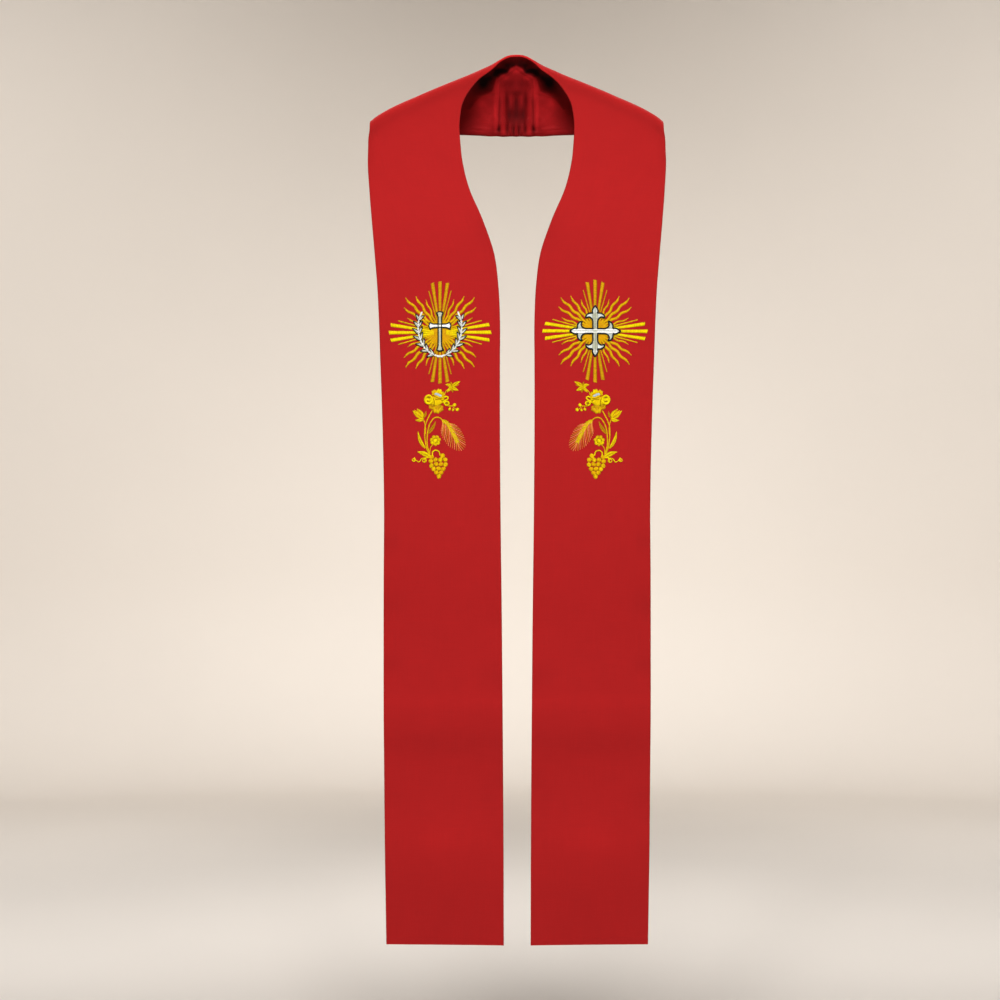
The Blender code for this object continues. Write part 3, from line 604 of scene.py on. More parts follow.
def outer_stations(step):
    """Places of the sections: close together behind the neck, and at each side of the hem's turning."""
    reach, close = NECK_SECTIONS["outer"]
    turning = BAND_LENGTH - HEM_TURNING
    rest = np.linspace(reach, turning - 1, int((BAND_LENGTH - reach - HEM_TURNING) / step))
    return np.concatenate((np.arange(0, reach, close), rest, [turning - LIP_BLEND, turning + LIP_BLEND / 10],
                           BAND_LENGTH - np.array(HEM_SECTIONS)))


# ---- Lining -------------------------------------------------------------------------------------

def beyond(value, edge, soft):
    """0 below an edge and 1 above it, over a soft width."""
    return 1 / (1 + np.exp(-np.clip((value - edge) / soft * 4, -40, 40)))


def within(value, edge, soft):
    """1 below an edge and 0 above it, over a soft width."""
    return beyond(edge - value, 0, soft)


def crease(out, up, start, end, half, lift):
    """A rounded ridge along a straight line that fades at its ends."""
    start, way = np.array(start, float), np.subtract(end, start).astype(float)
    long = hypot(*way)
    along = ((out - start[0]) * way[0] + (up - start[1]) * way[1]) / long
    aside = ((out - start[0]) * way[1] - (up - start[1]) * way[0]) / long
    return lift * np.exp(-(aside / half) ** 2) * beyond(along, 0, 5) * within(along, long, 5)


def lining_folds(out, up):
    """How far the lining stands off behind the neck: a raised middle with a hollow in it, creases round
    it, and small gathers where the lower edge is drawn in."""
    height = ((beyond(up, PANEL["foot"], PANEL["rise"]) * (1 - PANEL["low"]) + PANEL["low"])
              * within(up + out * PANEL["lean"], PANEL["top"], PANEL["fade"]))
    lift = PANEL["lift"] * within(out, PANEL["reach"], PANEL["side"]) * height
    lift = lift - (HOLLOW["depth"] * within(out, HOLLOW["reach"], HOLLOW["side"])
                   * beyond(up, HOLLOW["foot"], HOLLOW["rise"]) * within(up, HOLLOW["head"], HOLLOW["fade"]))
    lift = lift + sum(crease(out, up, *row) for row in CREASES)
    gathers = np.cos(out / GATHERS["pitch"] * 2 * pi) * GATHERS["lift"]
    lift = lift + (gathers * within(out, GATHERS["reach"], GATHERS["side"])
                   * within(up, GATHERS["head"], GATHERS["fade"]))
    return (np.maximum(lift + FOLDS["slack"], 0) * within(out, FOLDS["reach"], FOLDS["side"])
            * beyond(up, FOLDS["foot"], FOLDS["rise"]))


def lining_profile(width, station):
    """Across the lining between the turned edges, out on its hidden face and back on the one that shows."""
    start = LINING_INSET / width
    parts = start + (1 - 2 * start) * np.linspace(0, 1, LINING_PARTS)
    near = CLOTH + SEAM_GAP
    depths = np.concatenate((np.full(len(parts), near), np.full(len(parts), near + LINING)))
    return np.concatenate((parts, parts[::-1])), depths


def lining_offset(out, up, on_back, across, width, station, depths):
    """The lining follows the cloth and stands off it, towards the wearer, in its folds."""
    puckers = uneven(out * PUCKERS["across"], up * PUCKERS["up"], PUCKERS["size"], PUCKERS["seed"])
    puckers = np.clip(puckers, 0, 1) * PUCKERS["lift"] * np.exp(-np.clip(out / PUCKERS["reach"], 0, 9) ** 2)
    slack = LOOSE["lift"] * np.clip(uneven(out, up, LOOSE["size"], LOOSE["seed"]), 0, 1)
    return relief(out, up, on_back) - np.where(on_back, lining_folds(out, up) + puckers, slack)


def shade_step(out, up):
    """A quick change of tone across the line of the shade, which dies away on both sides of it."""
    line = np.array(SHADE_LINE, float)
    away = np.full(out.shape, 1e3)
    for start, end in zip(line, line[1:]):
        way = end - start
        part = np.clip(((out - start[0]) * way[0] + (up - start[1]) * way[1]) / (way @ way), 0, 1)
        away = np.minimum(away, np.hypot(out - start[0] - part * way[0], up - start[1] - part * way[1]))
    step = np.where(up > np.interp(out, line[:, 0], line[:, 1]), SHADE_STEP["shaded"], SHADE_STEP["lit"])
    return step * (1 - np.exp(-away / SHADE_STEP["edge"])) * np.exp(-away / SHADE_STEP["fade"])


def lining_painted_shading(out, up, on_back, depths):
    """Painted light and shade behind the neck: the lit folds, the shade of the folds, and the line where the
    shade starts.
    """
    tone = bumps(out, up, LINING_PAINTED_SHADING) + shade_step(out, up)
    return np.where(on_back, np.maximum(tone, DEEPEST_PAINTED_SHADE), 0)


def lining_stations(step):
    """Places of the sections, close together behind the neck."""
    reach, close = NECK_SECTIONS["lining"]
    end = BAND_LENGTH - HEM_TURNING - LIP_BLEND - SEAM_GAP
    rest = np.linspace(reach, end, int((end - reach) / step / LINING_STEP))
    return np.concatenate((np.arange(0, reach, close), rest))


# ---- Materials ----------------------------------------------------------------------------------

class Wire:
    """A socket of a material, with arithmetic that adds Math nodes."""

    def __init__(self, tree, socket):
        self.tree, self.socket = tree, socket

    def math(self, operation, *values):
        """A Math node over some wires or numbers."""
        return self.tree.add("ShaderNodeMath", {"operation": operation}, dict(enumerate(values)))

    def __add__(self, other):
        return self.math("ADD", self, other)

    def __radd__(self, other):
        return self.math("ADD", other, self)

    def __sub__(self, other):
        return self.math("SUBTRACT", self, other)

    def __rsub__(self, other):
        return self.math("SUBTRACT", other, self)

    def __mul__(self, other):
        return self.math("MULTIPLY", self, other)

    def __rmul__(self, other):
        return self.math("MULTIPLY", other, self)

    def sine(self):
        """The sine of this socket's angle in radians."""
        return self.math("SINE", self)


class Finish:
    """A material under construction, and the shader it ends in."""

    def __init__(self, name, roughness, specular, sheen=0.0, sheen_roughness=0.5, sheen_tint=(1, 1, 1)):
        self.material = bpy.data.materials.new(name)
        self.material.use_nodes = True
        self.tree = self.material.node_tree
        self.shader = self.tree.nodes["Principled BSDF"]
        for socket, value in (("Roughness", roughness), ("Specular IOR Level", specular),
                              ("Sheen Weight", sheen), ("Sheen Roughness", sheen_roughness),
                              ("Sheen Tint", (*sheen_tint, 1))):
            self.shader.inputs[socket].default_value = value

    def add(self, kind, settings=None, inputs=None, output=0):
        """A node of any type, its settings first and then the values or links of its sockets."""
        node = self.tree.nodes.new(kind)
        for key, value in (settings or {}).items():
            setattr(node, key, value)
        for key, value in (inputs or {}).items():
            if isinstance(value, Wire):
                self.tree.links.new(value.socket, node.inputs[key])
            else:
                node.inputs[key].default_value = value
        return Wire(self, node.outputs[output])

    def layer(self, name, output):
        """Values that the mesh carries at its points."""
        return self.add("ShaderNodeAttribute", {"attribute_name": name}, output=output)

    def noise(self, vector, stretch, detail=2.0):
        """Noise over a vector whose axes are first divided by sizes in metres."""
        scaled = self.add("ShaderNodeVectorMath", {"operation": "MULTIPLY"},
                          {0: vector, 1: tuple(1 / size for size in stretch)})
        return self.add("ShaderNodeTexNoise", {"noise_dimensions": "3D"},
                        {"Vector": scaled, "Scale": 1.0, "Detail": detail, "Roughness": 0.5})

    def blend(self, factor, one, two, how="MIX"):
        """Two colours mixed, each a wire or a plain colour."""
        one, two = (part if isinstance(part, Wire) else (*part, 1) for part in (one, two))
        return self.add("ShaderNodeMix", {"data_type": "RGBA", "blend_type": how},
                        {0: factor, 6: one, 7: two}, output=2)

    def surface(self, socket, wire):
        """Feeds one of the shader's sockets."""
        self.tree.links.new(wire.socket, self.shader.inputs[socket])

    def bump(self, height, distance):
        """Bump from a height between about 0 and 1, distance in metres."""
        self.surface("Normal", self.add("ShaderNodeBump", None, {"Height": height, "Distance": distance,
                                                                 "Strength": 1.0}))


def shade(colour, factor):
    """A paler or deeper colour."""
    return tuple(min(1.0, part * factor) for part in colour)


def dyed(finish, colour, grain, spread, slow, deep):
    """The cloth's colour: its grain, slow shifts towards a deeper tone, and the painted light and shade of
    each place.
    """
    toned = finish.blend(grain, shade(colour, 1 - spread), shade(colour, 1 + spread))
    toned = finish.blend(slow * 0.5, toned, shade(colour, deep))
    finish.surface("Base Color", finish.blend(1.0, toned, finish.layer("painted_light_and_shade", "Color"), "MULTIPLY"))


def woven_cloth(settings):
    """Matte plain weave with uneven threads both ways and slow shifts of tone."""
    finish = Finish("woven_red_cloth", roughness=0.82, specular=0.1, sheen=0.12, sheen_roughness=0.45,
                    sheen_tint=(1, 0.12, 0.1))
    place = finish.layer("cloth_place", "Vector")
    across, along = (finish.add("ShaderNodeSeparateXYZ", None, {0: place}, output=k) for k in range(2))
    warp = finish.noise(place, (0.0011, 0.045, 1.0), detail=3)
    weft = finish.noise(place, (0.045, 0.0011, 1.0), detail=3)
    grain = warp * 0.5 + weft * 0.5
    dyed(finish, settings.cloth_colour, grain, 0.20, finish.noise(place, (0.035, 0.05, 1.0), detail=3), 0.86)
    turn = 2 * pi / settings.weave_pitch
    over = (across * turn).sine() * (along * turn).sine()
    finish.bump(over * 0.22 + grain * 0.55 + finish.noise(place, (0.0004, 0.0004, 1.0)) * 0.22, 0.00022)
    finish.surface("Roughness", 0.74 + grain * 0.18)
    return finish.material


def satin_lining(settings):
    """Closely woven satin: smooth, with a soft gloss and faint lines along its floats."""
    finish = Finish("satin_lining", roughness=0.5, specular=0.05)
    place = finish.layer("cloth_place", "Vector")
    floats = finish.noise(place, (0.0007, 0.03, 1.0), detail=3)
    dyed(finish, settings.lining_colour, floats, 0.15, finish.noise(place, (0.02, 0.03, 1.0), detail=3), 0.8)
    finish.bump(floats * 0.6 + finish.noise(place, (0.006, 0.006, 1.0)) * 0.4, 0.0002)
    finish.surface("Roughness", 0.44 + floats * 0.14)
    return finish.material


def floss(name, roughness, specular):
    """Embroidery thread, made once: each stitch carries its own colour and painted shade, with fine specks in
    its lustre.
    """
    if name in bpy.data.materials:
        return bpy.data.materials[name]
    finish = Finish(name, roughness, specular)
    spot = finish.add("ShaderNodeTexCoord", output="Object")
    speck = finish.noise(spot, (0.0006, 0.0006, 0.0006))
    own = finish.layer("thread_colour_and_shade", "Color")
    finish.surface("Base Color", finish.blend(speck * 0.16, own, (0, 0, 0), "MULTIPLY"))
    finish.bump(speck, 0.0001)
    return finish.material


# ---- Stitches -----------------------------------------------------------------------------------

def along_route(values, along, places):
    """The columns of a table of places, read at lengths along it."""
    return np.stack([np.interp(places, along, column) for column in np.asarray(values, float).T], axis=-1)


def sideways(way):
    """Directions turned a quarter to the left."""
    return np.stack([-way[..., 1], way[..., 0]], axis=-1)


def circle(radius, count, middle=(0, 0)):
    """Points round a circle, or round an oval of two radii."""
    turns = np.linspace(0, 2 * pi, count, endpoint=False)
    return np.asarray(middle) + np.asarray(radius) * np.stack([np.cos(turns), np.sin(turns)], axis=-1)


def turned(points, degrees):
    """Points turned clockwise about the middle, seen with out to the right."""
    points, angle = np.asarray(points, float), np.radians(degrees)
    return np.stack([points[..., 0] * np.cos(angle) + points[..., 1] * np.sin(angle),
                     points[..., 1] * np.cos(angle) - points[..., 0] * np.sin(angle)], axis=-1)


def smooth(points, count, closed=False):
    """A smooth line of count points through a few points."""
    points = np.asarray(points, float)
    if closed:
        points = np.concatenate([points[-2:], points, points[:3]])
    along = lengths(points)
    if closed:
        return hermite(along, points, np.linspace(along[2], along[-3], count + 1)[:-1])
    return hermite(along, points, np.linspace(0, along[-1], count))


def on_cloth(flat, lift, side, middle):
    """Flat places from a motif's middle put on the front of the cloth, in metres."""
    out, up = middle[0] + flat[:, 0], middle[1] + flat[:, 1]
    fall = fall_at(out, up)
    placed = form(out, fall) + normal(out, fall) * (lift + relief(out, up, fall < 0))[:, None]
    placed[:, 0] *= side
    return placed * MM


class Stitches:
    """Threads laid on a hanging front. Flat places are (out, up) from a motif's middle, in millimetres,
    and heights are parts of the stitches' usual height."""

    def __init__(self, settings, seed):
        self.pitch = settings.thread_pitch / MM
        self.height = settings.stitch_height / MM
        self.draw = np.random.default_rng(seed)
        self.groups = []

    def lay(self, paths, half, rise, colour, foot=STITCH_FOOT, shade_by=1.0):
        """Threads along paths (count, points, 2), with half widths, rises and shades at each point."""
        paths = np.asarray(paths, float)
        shape = paths.shape[:2]
        half, rise, foot, shade_by = (np.broadcast_to(np.asarray(part, float), shape)
                                      for part in (half, rise, foot, shade_by))
        tone = 1 + TONE_SPREAD * self.draw.standard_normal((shape[0], 1, 1)).clip(-1.8, 1.8)
        colour = np.clip(np.asarray(colour, float) * tone * shade_by[..., None], 0, 1)
        self.groups.append((paths, half, rise, foot, colour))

    def across(self, left, right, colour, height=1.0, foot=STITCH_FOOT, points=7, dive=(1, 1)):
        """Satin stitches from left points to right points, arched over their padding. dive says how
        deeply each end is shaded."""
        way = right - left
        length = np.maximum(np.linalg.norm(way, axis=1, keepdims=True), 1e-6)
        slip = self.draw.uniform(-RAGGED, RAGGED, (len(left), 2)) * np.minimum(1, length / 2)
        left = left + way / length * slip[:, :1]
        right = right + way / length * slip[:, 1:]
        places = (1 - np.cos(np.linspace(0, pi, points))) / 2
        paths = left[:, None] + (right - left)[:, None] * places[None, :, None]
        reach = np.clip(length * ARCH["part"], ARCH["least"], ARCH["most"])
        near = np.clip(places[None] * length / reach, 0, 1)
        far = np.clip((1 - places[None]) * length / reach, 0, 1)
        arch = np.sqrt(np.minimum(near, far) * (2 - np.minimum(near, far)))
        dark = np.maximum(dive[0] * (1 - near) ** 2, dive[1] * (1 - far) ** 2)
        self.lay(paths, self.pitch * THREAD_FULLNESS, height * self.height * arch, colour, foot,
                 CREST_SHADE - (CREST_SHADE - DIVE_SHADE) * dark)

    def band(self, route, half, colour, height, slant=0.0):
        """A strip of satin stitches across a route, with a half width at each of its points."""
        along = lengths(route)
        places = np.linspace(0, along[-1], max(int(along[-1] / self.pitch), 2))
        way = unit(along_route(np.gradient(route, along, axis=0), along, places))
        middle = along_route(route, along, places)
        wide = np.interp(places, along, half)[:, None]
        reach = (sideways(way) + way * slant) * wide
        self.across(middle - reach, middle + reach, colour, height, points=6)

    def fill(self, outline, angle, colour, height=1.0, foot=STITCH_FOOT, points=7):
        """Satin stitches at an angle across any closed outline."""
        turn = radians(angle)
        spun = np.array([[cos(turn), sin(turn)], [-sin(turn), cos(turn)]])
        flat = np.asarray(outline, float) @ spun.T
        after = np.roll(flat, -1, axis=0)
        left, right = [], []
        for level in np.arange(flat[:, 1].min() + self.pitch / 2, flat[:, 1].max(), self.pitch):
            cuts = (flat[:, 1] > level) != (after[:, 1] > level)
            here, there = flat[cuts], after[cuts]
            part = (level - here[:, 1]) / (there[:, 1] - here[:, 1])
            ends = np.sort(here[:, 0] + part * (there[:, 0] - here[:, 0]))
            for start, end in zip(ends[::2], ends[1::2]):
                if end - start > 0.3:
                    left.append((start, level))
                    right.append((end, level))
        if left:
            self.across(np.array(left) @ spun, np.array(right) @ spun, colour, height, foot, points)

    def cord(self, route, radius, colour, foot=0.0, rise=None, closed=False, twist=1.5):
        """A twisted cord along a route: short slanted stitches, each over the last."""
        route, radius = np.asarray(route, float), np.asarray(radius, float)
        if closed:
            route = np.concatenate([route, route[:1]])
        along = lengths(route)
        places = np.linspace(0, along[-1], max(int(along[-1] / (radius.mean() * twist)), 2))
        middle = along_route(route, along, places)
        if radius.ndim:
            radius = np.interp(places, along, radius)[:, None]
        way = unit(np.gradient(middle, axis=0))
        reach = (way * 1.5 + sideways(way) * 0.55) * radius
        ends, widths, rises, tones = CORD
        paths = middle[:, None] + reach[:, None] * ends[None, :, None]
        rise = radius * 1.7 if rise is None else rise
        self.lay(paths, radius * widths, rise * rises, colour, foot, tones)

    def knot(self, middle, radius, colour, angle=30.0, height=1.0, foot=STITCH_FOOT):
        """A small round berry of satin stitches."""
        self.fill(circle(radius, 20, middle), angle, colour, height, foot, points=6)

    def leaf(self, foot, tip, width, colours, bend=0.0, lift=STITCH_FOOT):
        """A leaf of two rows of slanted stitches that meet in a groove along its midrib."""
        middle, half = leaf_line(foot, tip, width, bend)
        along = lengths(middle)
        places = np.linspace(0.02, 0.97, max(int(along[-1] / self.pitch), 3)) * along[-1]
        ahead = np.minimum(places + width * 0.28, along[-1])
        aside = sideways(along_route(np.gradient(middle, along, axis=0), along, ahead))
        start, edge = along_route(middle, along, places), along_route(middle, along, ahead)
        wide = np.interp(ahead, along, half)[:, None]
        for sign, colour in ((1, colours[0]), (-1, colours[1])):
            self.across(start + sign * aside * 0.12, edge + sign * aside * wide, colour, 0.8, lift,
                        points=5, dive=(0.6, 1))

    def petal(self, heart, angle, reach, spread, colours):
        """A petal of fanned stitches from near the heart to a rounded rim, darker towards the heart."""
        spots = np.linspace(-1, 1, max(int(spread * reach / 57 * 2 / self.pitch * 0.75), 6))
        rim = reach * (0.80 + 0.20 * np.cos(spots * pi / 2 * 1.25)) * (1 - 0.05 * np.cos(spots * pi * 3))
        ends = np.stack([turned((0, far), angle + spot * spread) for far, spot in zip(rim, spots)]) + heart
        starts = np.stack([turned((0, 2), angle + spot * spread * 0.9) for spot in spots]) + heart
        middle = starts + (ends - starts) * 0.52
        self.across(middle, ends, colours[0], points=5, dive=(0.2, 1))
        self.across(starts, middle + (ends - starts) * 0.08, colours[1], 0.75, points=5, dive=(1, 0.4))

    def sew(self, name, side, middle, material):
        """Puts every thread on the cloth as one object."""
        points, faces, colours, start = [], [], [], 0
        for paths, half, rise, foot, tone in self.groups:
            count, length = paths.shape[:2]
            aside = sideways(unit(np.gradient(paths, axis=1))) * half[..., None]
            flat = np.stack([paths - aside, paths, paths + aside], axis=2)
            flank = foot + rise * THREAD_FLANK
            lift = np.stack([flank, foot + rise, flank], axis=2)
            points.append(on_cloth(flat.reshape(-1, 2), lift.ravel(), side, middle))
            colours.append(np.repeat(tone.reshape(-1, 3), 3, axis=0))
            base = start + np.arange(count)[:, None, None] * length * 3
            rows = np.arange(length - 1)[None, :, None] * 3
            quads = np.array([[0, 1, 4, 3], [1, 2, 5, 4], [2, 0, 3, 5]])
            faces += (base[..., None] + rows[..., None] + quads[None, None]).reshape(-1, 4).tolist()
            ends = base[:, 0, 0]
            faces += np.stack([ends, ends + 2, ends + 1], axis=-1).tolist()
            last = ends + (length - 1) * 3
            faces += np.stack([last, last + 1, last + 2], axis=-1).tolist()
            start += count * length * 3
        if side > 0:
            faces = [face[::-1] for face in faces]
        colours = np.pad(np.concatenate(colours), ((0, 0), (0, 1)), constant_values=1)
        piece = built(name, np.concatenate(points), faces, material,
                      {"thread_colour_and_shade": ("FLOAT_COLOR", "color", colours)})
        piece.data.set_sharp_from_angle(angle=radians(105))
        return piece


def leaf_line(foot, tip, width, bend=0.0):
    """A pointed leaf's midrib, bowed sideways by bend, and its half widths."""
    foot, tip = np.asarray(foot, float), np.asarray(tip, float)
    way = tip - foot
    part = np.linspace(0, 1, 14)
    middle = foot + way * part[:, None] + sideways(way) / hypot(*way) * (bend * np.sin(pi * part))[:, None]
    return middle, width / 2 * np.sin(pi * part ** 0.8) ** 0.9


# ---- Motifs -------------------------------------------------------------------------------------

def golds(settings):
    """The three golds of the thread: bright, olive, which also stands as painted shade on the upright rays,
    and orange.
    """
    return [np.array(colour) for colour in (settings.bright_gold, settings.olive_gold_and_ray_shade, settings.orange_gold)]


def sunburst_rays(quarter):
    """Every ray, clockwise from the upright one: angle, length, half width and kind."""
    half_turn = list(quarter) + [(180 - angle, *rest) for angle, *rest in quarter[-2::-1]]
    return half_turn + [(360 - angle, *rest) for angle, *rest in half_turn[-2:0:-1]]


def wavy_ray(angle, length, half):
    """The route of a wavy ray out of the core, and its half widths."""
    part = np.linspace(0, 1, 44)
    reach = CORE - 3 + (length - CORE + 3) * part
    mirror = 1 if angle % 180 < 90 else -1
    swing = WAVE["swing"] * np.sin((length - reach) / WAVE["pitch"] * 2 * pi - WAVE["phase"]) * mirror
    route = np.stack([swing * np.clip(part * 3, 0, 1) * (1 - 0.45 * part), reach], axis=-1)
    wide = half * (0.75 + 0.3 * np.sin(pi * part ** 0.8)) * np.clip((1 - part) * 9, 0.5, 1)
    return turned(route, angle), wide


def sew_sunburst(stitches, settings, name):
    """A core of radial stitches, straight rays on the four arms and wavy ones between."""
    bright, olive_and_shade, orange = golds(settings)
    for angle, length, half, kind in sunburst_rays(RAYS[name]):
        if kind == "wavy":
            stitches.band(*wavy_ray(angle, length, half), orange * 0.75 + bright * 0.25, 0.75)
            continue
        part = np.linspace(0, 1, 12)
        route = np.stack([np.zeros(12), RAY_START + (length - RAY_START) * part], axis=-1)
        wide = half * (0.55 + 0.45 * part) if kind == "broad" else half * (1.0 - 0.35 * part)
        # Painted light: level rays take the bright gold, upright ones, whose stitches lie level, the deeper
        # olive gold as painted shade.
        level = min(abs(angle - 90), abs(angle - 270)) < 20
        colour = bright if level else olive_and_shade
        if kind == "fine":
            colour = colour * 0.5 + orange * 0.5
        stitches.band(turned(route, angle), wide, colour, 0.8, slant=0.25)
    for rows, start, end in CORE_ROWS:
        spokes = np.linspace(0, 360, rows, endpoint=False)
        tips = end + stitches.draw.uniform(-1.2, 1.8, rows)
        inner = np.stack([turned((0, start), angle) for angle in spokes])
        outer = np.stack([turned((0, tip), angle) for tip, angle in zip(tips, spokes)])
        stitches.across(inner, outer, orange, 0.5, foot=0.15, dive=(0.5, 0.8))


def sew_cross_fleury(stitches, settings):
    """Silver satin inside a dark cord, with painted shade by the lie of its stitches: bright level stems,
    deeper upright stems, one half of each deeper again, and a dark cord along the middle of each upright arm
    as painted shade of a groove.
    """
    silver = np.array(settings.silver)
    stem, tip, leaf = np.array(STEM), smooth(TIP_LEAF, 16), smooth(SIDE_LEAF, 34)
    for angle, way in ((0, "upright"), (90, "level"), (180, "upright"), (270, "level")):
        shades = {"side": LEAF_SHADE[way], "tip": LEAF_SHADE["upright"] if way == "upright" else 1}
        for mirror in (-1, 1):
            stem_shade = 1 if way == "level" else UPRIGHT_SHADE * (1.0 if mirror > 0 else 0.9)
            for outline, slant, tone, foot in (
                    (leaf, 35, shades["side"], 0),
                    (np.concatenate([[(0, 24)], tip]), 14, shades["tip"], 0),
                    (np.concatenate([[(0, 0)], stem, [(0, 25.5)]]), 14, stem_shade, 0.1)):
                stitches.fill(turned(outline * [mirror, 1], angle), angle + slant * mirror, silver * tone,
                              foot=EMBLEM_FOOT + foot)
        if way == "upright":
            stitches.cord(smooth(turned([(0, 1), (0, 29)], angle), 20), 0.55, silver * GROOVE_SHADE,
                          foot=EMBLEM_FOOT + 0.55, rise=0.35)
    side = np.concatenate([stem[:1] + [0, STEM[0][0]], leaf[:-1], tip])
    arm = np.concatenate([side * [-1, 1], side[-2::-1]])
    outline = np.concatenate([turned(arm, angle) for angle in (0, 90, 180, 270)])
    stitches.cord(outline, OUTLINE_RADIUS, settings.outline, foot=EMBLEM_FOOT + 0.1, closed=True, twist=0.9)


def tall_cross_outlines():
    """The upright and the bar of the tall cross, each splayed at its ends."""
    low, high, level, reach, half, splay, tip = (
        TALL_CROSS[key] for key in ("foot", "head", "bar", "reach", "half", "splay", "tip"))
    upright = ((-splay, low), (0, low - tip), (splay, low), (half, low + 6), (half, high - 6), (splay, high),
               (0, high + tip), (-splay, high), (-half, high - 6), (-half, low + 6))
    bar = ((-reach, level - splay), (-reach + 5, level - half), (reach - 5, level - half),
           (reach, level - splay), (reach + tip, level), (reach, level + splay), (reach - 5, level + half),
           (-reach + 5, level + half), (-reach, level + splay), (-reach - tip, level))
    return np.array(upright, float), np.array(bar, float)


def sew_palms_and_cross(stitches, settings):
    """A tall cross with splayed ends between two palm branches that cross at the foot."""
    silver, dark = np.array(settings.silver), settings.outline
    rib = smooth(PALM_RIB, 60)
    way = unit(np.gradient(rib, axis=0))
    for mirror in (1, -1):
        for k in range(LEAFLET["pairs"]):
            at = int(8 + k * 50 / LEAFLET["pairs"])
            long = LEAFLET["length"] * (1 - 0.35 * abs(k / LEAFLET["pairs"] - 0.4))
            for sign in (1, -1):
                tip = rib[at] + turned(way[at], sign * LEAFLET["turn"]) * long
                leaflet = (rib[at] * [mirror, 1], tip * [mirror, 1], LEAFLET["width"])
                bend = LEAFLET["bend"] * sign * mirror
                middle, half = leaf_line(*leaflet, bend)
                stitches.leaf(*leaflet, (silver, silver * UPRIGHT_SHADE), bend, EMBLEM_FOOT)
                aside = sideways(unit(np.gradient(middle, axis=0))) * half[:, None]
                rim = np.concatenate([middle + aside, (middle - aside)[::-1]])
                stitches.cord(rim, OUTLINE_RADIUS * 0.66, dark, foot=EMBLEM_FOOT, closed=True)
        stitches.cord(rib * [mirror, 1], 1.1, silver * 0.85, foot=EMBLEM_FOOT + 0.2, rise=1.0, twist=0.7)
    upright, bar = tall_cross_outlines()
    stitches.fill(upright, 0, silver * UPRIGHT_SHADE, foot=EMBLEM_FOOT + 0.25)
    stitches.fill(bar, 90, silver, foot=EMBLEM_FOOT + 0.35)
    for outline in (upright, bar):
        stitches.cord(outline, OUTLINE_RADIUS, dark, foot=EMBLEM_FOOT, closed=True)


def sew_rose(stitches, settings):
    """A full-blown rose: back petals, a broad lower one, two curled rings at the sides and a silver heart."""
    bright, olive_and_shade, orange = golds(settings)
    warm, dull = orange * 0.5 + bright * 0.5, olive_and_shade * 0.6 + bright * 0.4
    for heart, angle, reach, spread, colours in (
            ((-2, 2), -52, 11.5, 30, (dull, orange)), ((-2, 2), -12, 12.5, 32, (bright, warm)),
            ((-2, 2), 32, 12.5, 30, (warm, orange)), ((4, -5), 152, 9.5, 38, (olive_and_shade, olive_and_shade * 0.8)),
            ((-1, -6), 212, 12.5, 34, (olive_and_shade, olive_and_shade * 0.75)), ((-2, -5), 172, 14.5, 36, (dull, olive_and_shade))):
        stitches.petal(heart, angle, reach, spread, colours)
    # The cup: outline, its points, slant, tone, height and foot.
    for outline, count, slant, tone, height, foot in (
            (((-11, 2), (-6, -7), (1, -9), (7, -5), (7, 2), (2, 7), (-6, 7)), 40, 62,
             bright * 0.6 + olive_and_shade * 0.4, 1, 0.45),
            (((-8, 3), (-5, -1), (1, -1), (4, 4), (0, 8), (-6, 8)), 30, 25, orange, 0.6, 0.75)):
        stitches.fill(smooth(outline, count, closed=True), slant, tone, height, foot)
    ring = (10.4, -0.3)
    stitches.fill(circle((5.2, 5.8), 40, ring), 40, bright, 0.8, 0.35)
    stitches.cord(circle((4.9, 5.5), 40, ring), 1.3, bright * 1.05, foot=0.7, closed=True)
    for x, y, turn in ((10.2, 2.6, 20), (10.8, -2.6, 12)):
        stitches.fill(turned(circle((2.6, 0.95), 20), -turn) + (x, y), 100, olive_and_shade * 0.6, 0.4, 1.0)
    eye = (-14.2, -5.4)
    stitches.fill(circle((2.6, 2.2), 30, eye), 40, orange * 0.5, 0.4, 0.3)
    stitches.cord(circle((3.0, 2.6), 30, eye), 0.95, bright * 1.05, foot=0.5, closed=True)
    curl = ((-11.5, 3.2), (-14.2, 4.0), (-16.0, 2.0), (-14.6, -0.2), (-11.6, -1.6), (-9.8, -3.4))
    stitches.cord(smooth(curl, 30), 1.05, bright, foot=0.5)
    heart = ((-7.6, 4.6), (-4, 7.6), (1.2, 8.6), (2.4, 6.8), (-1.5, 4.8), (-5.5, 3.2))
    shaded_silver = np.array(settings.silver) * (0.53, 0.62, 0.70)
    stitches.fill(smooth(heart, 26, closed=True), 110, shaded_silver, 0.7, 1.1)
    blush = smooth(((2, 6), (5.6, 5.4), (6, 1.6), (3.2, 2.4)), 20, closed=True)
    stitches.fill(blush, 60, orange * (0.8, 0.35, 0.6), 0.5, 0.9)
    for crease_line in (((-10, -3), (-5, 0), (1, 0)), ((3, -8), (3, -2), (6, 4)), ((-8, 1), (-2, 2), (4, 5))):
        stitches.cord(smooth(crease_line, 16), 0.45, orange * 0.35, foot=1.0)


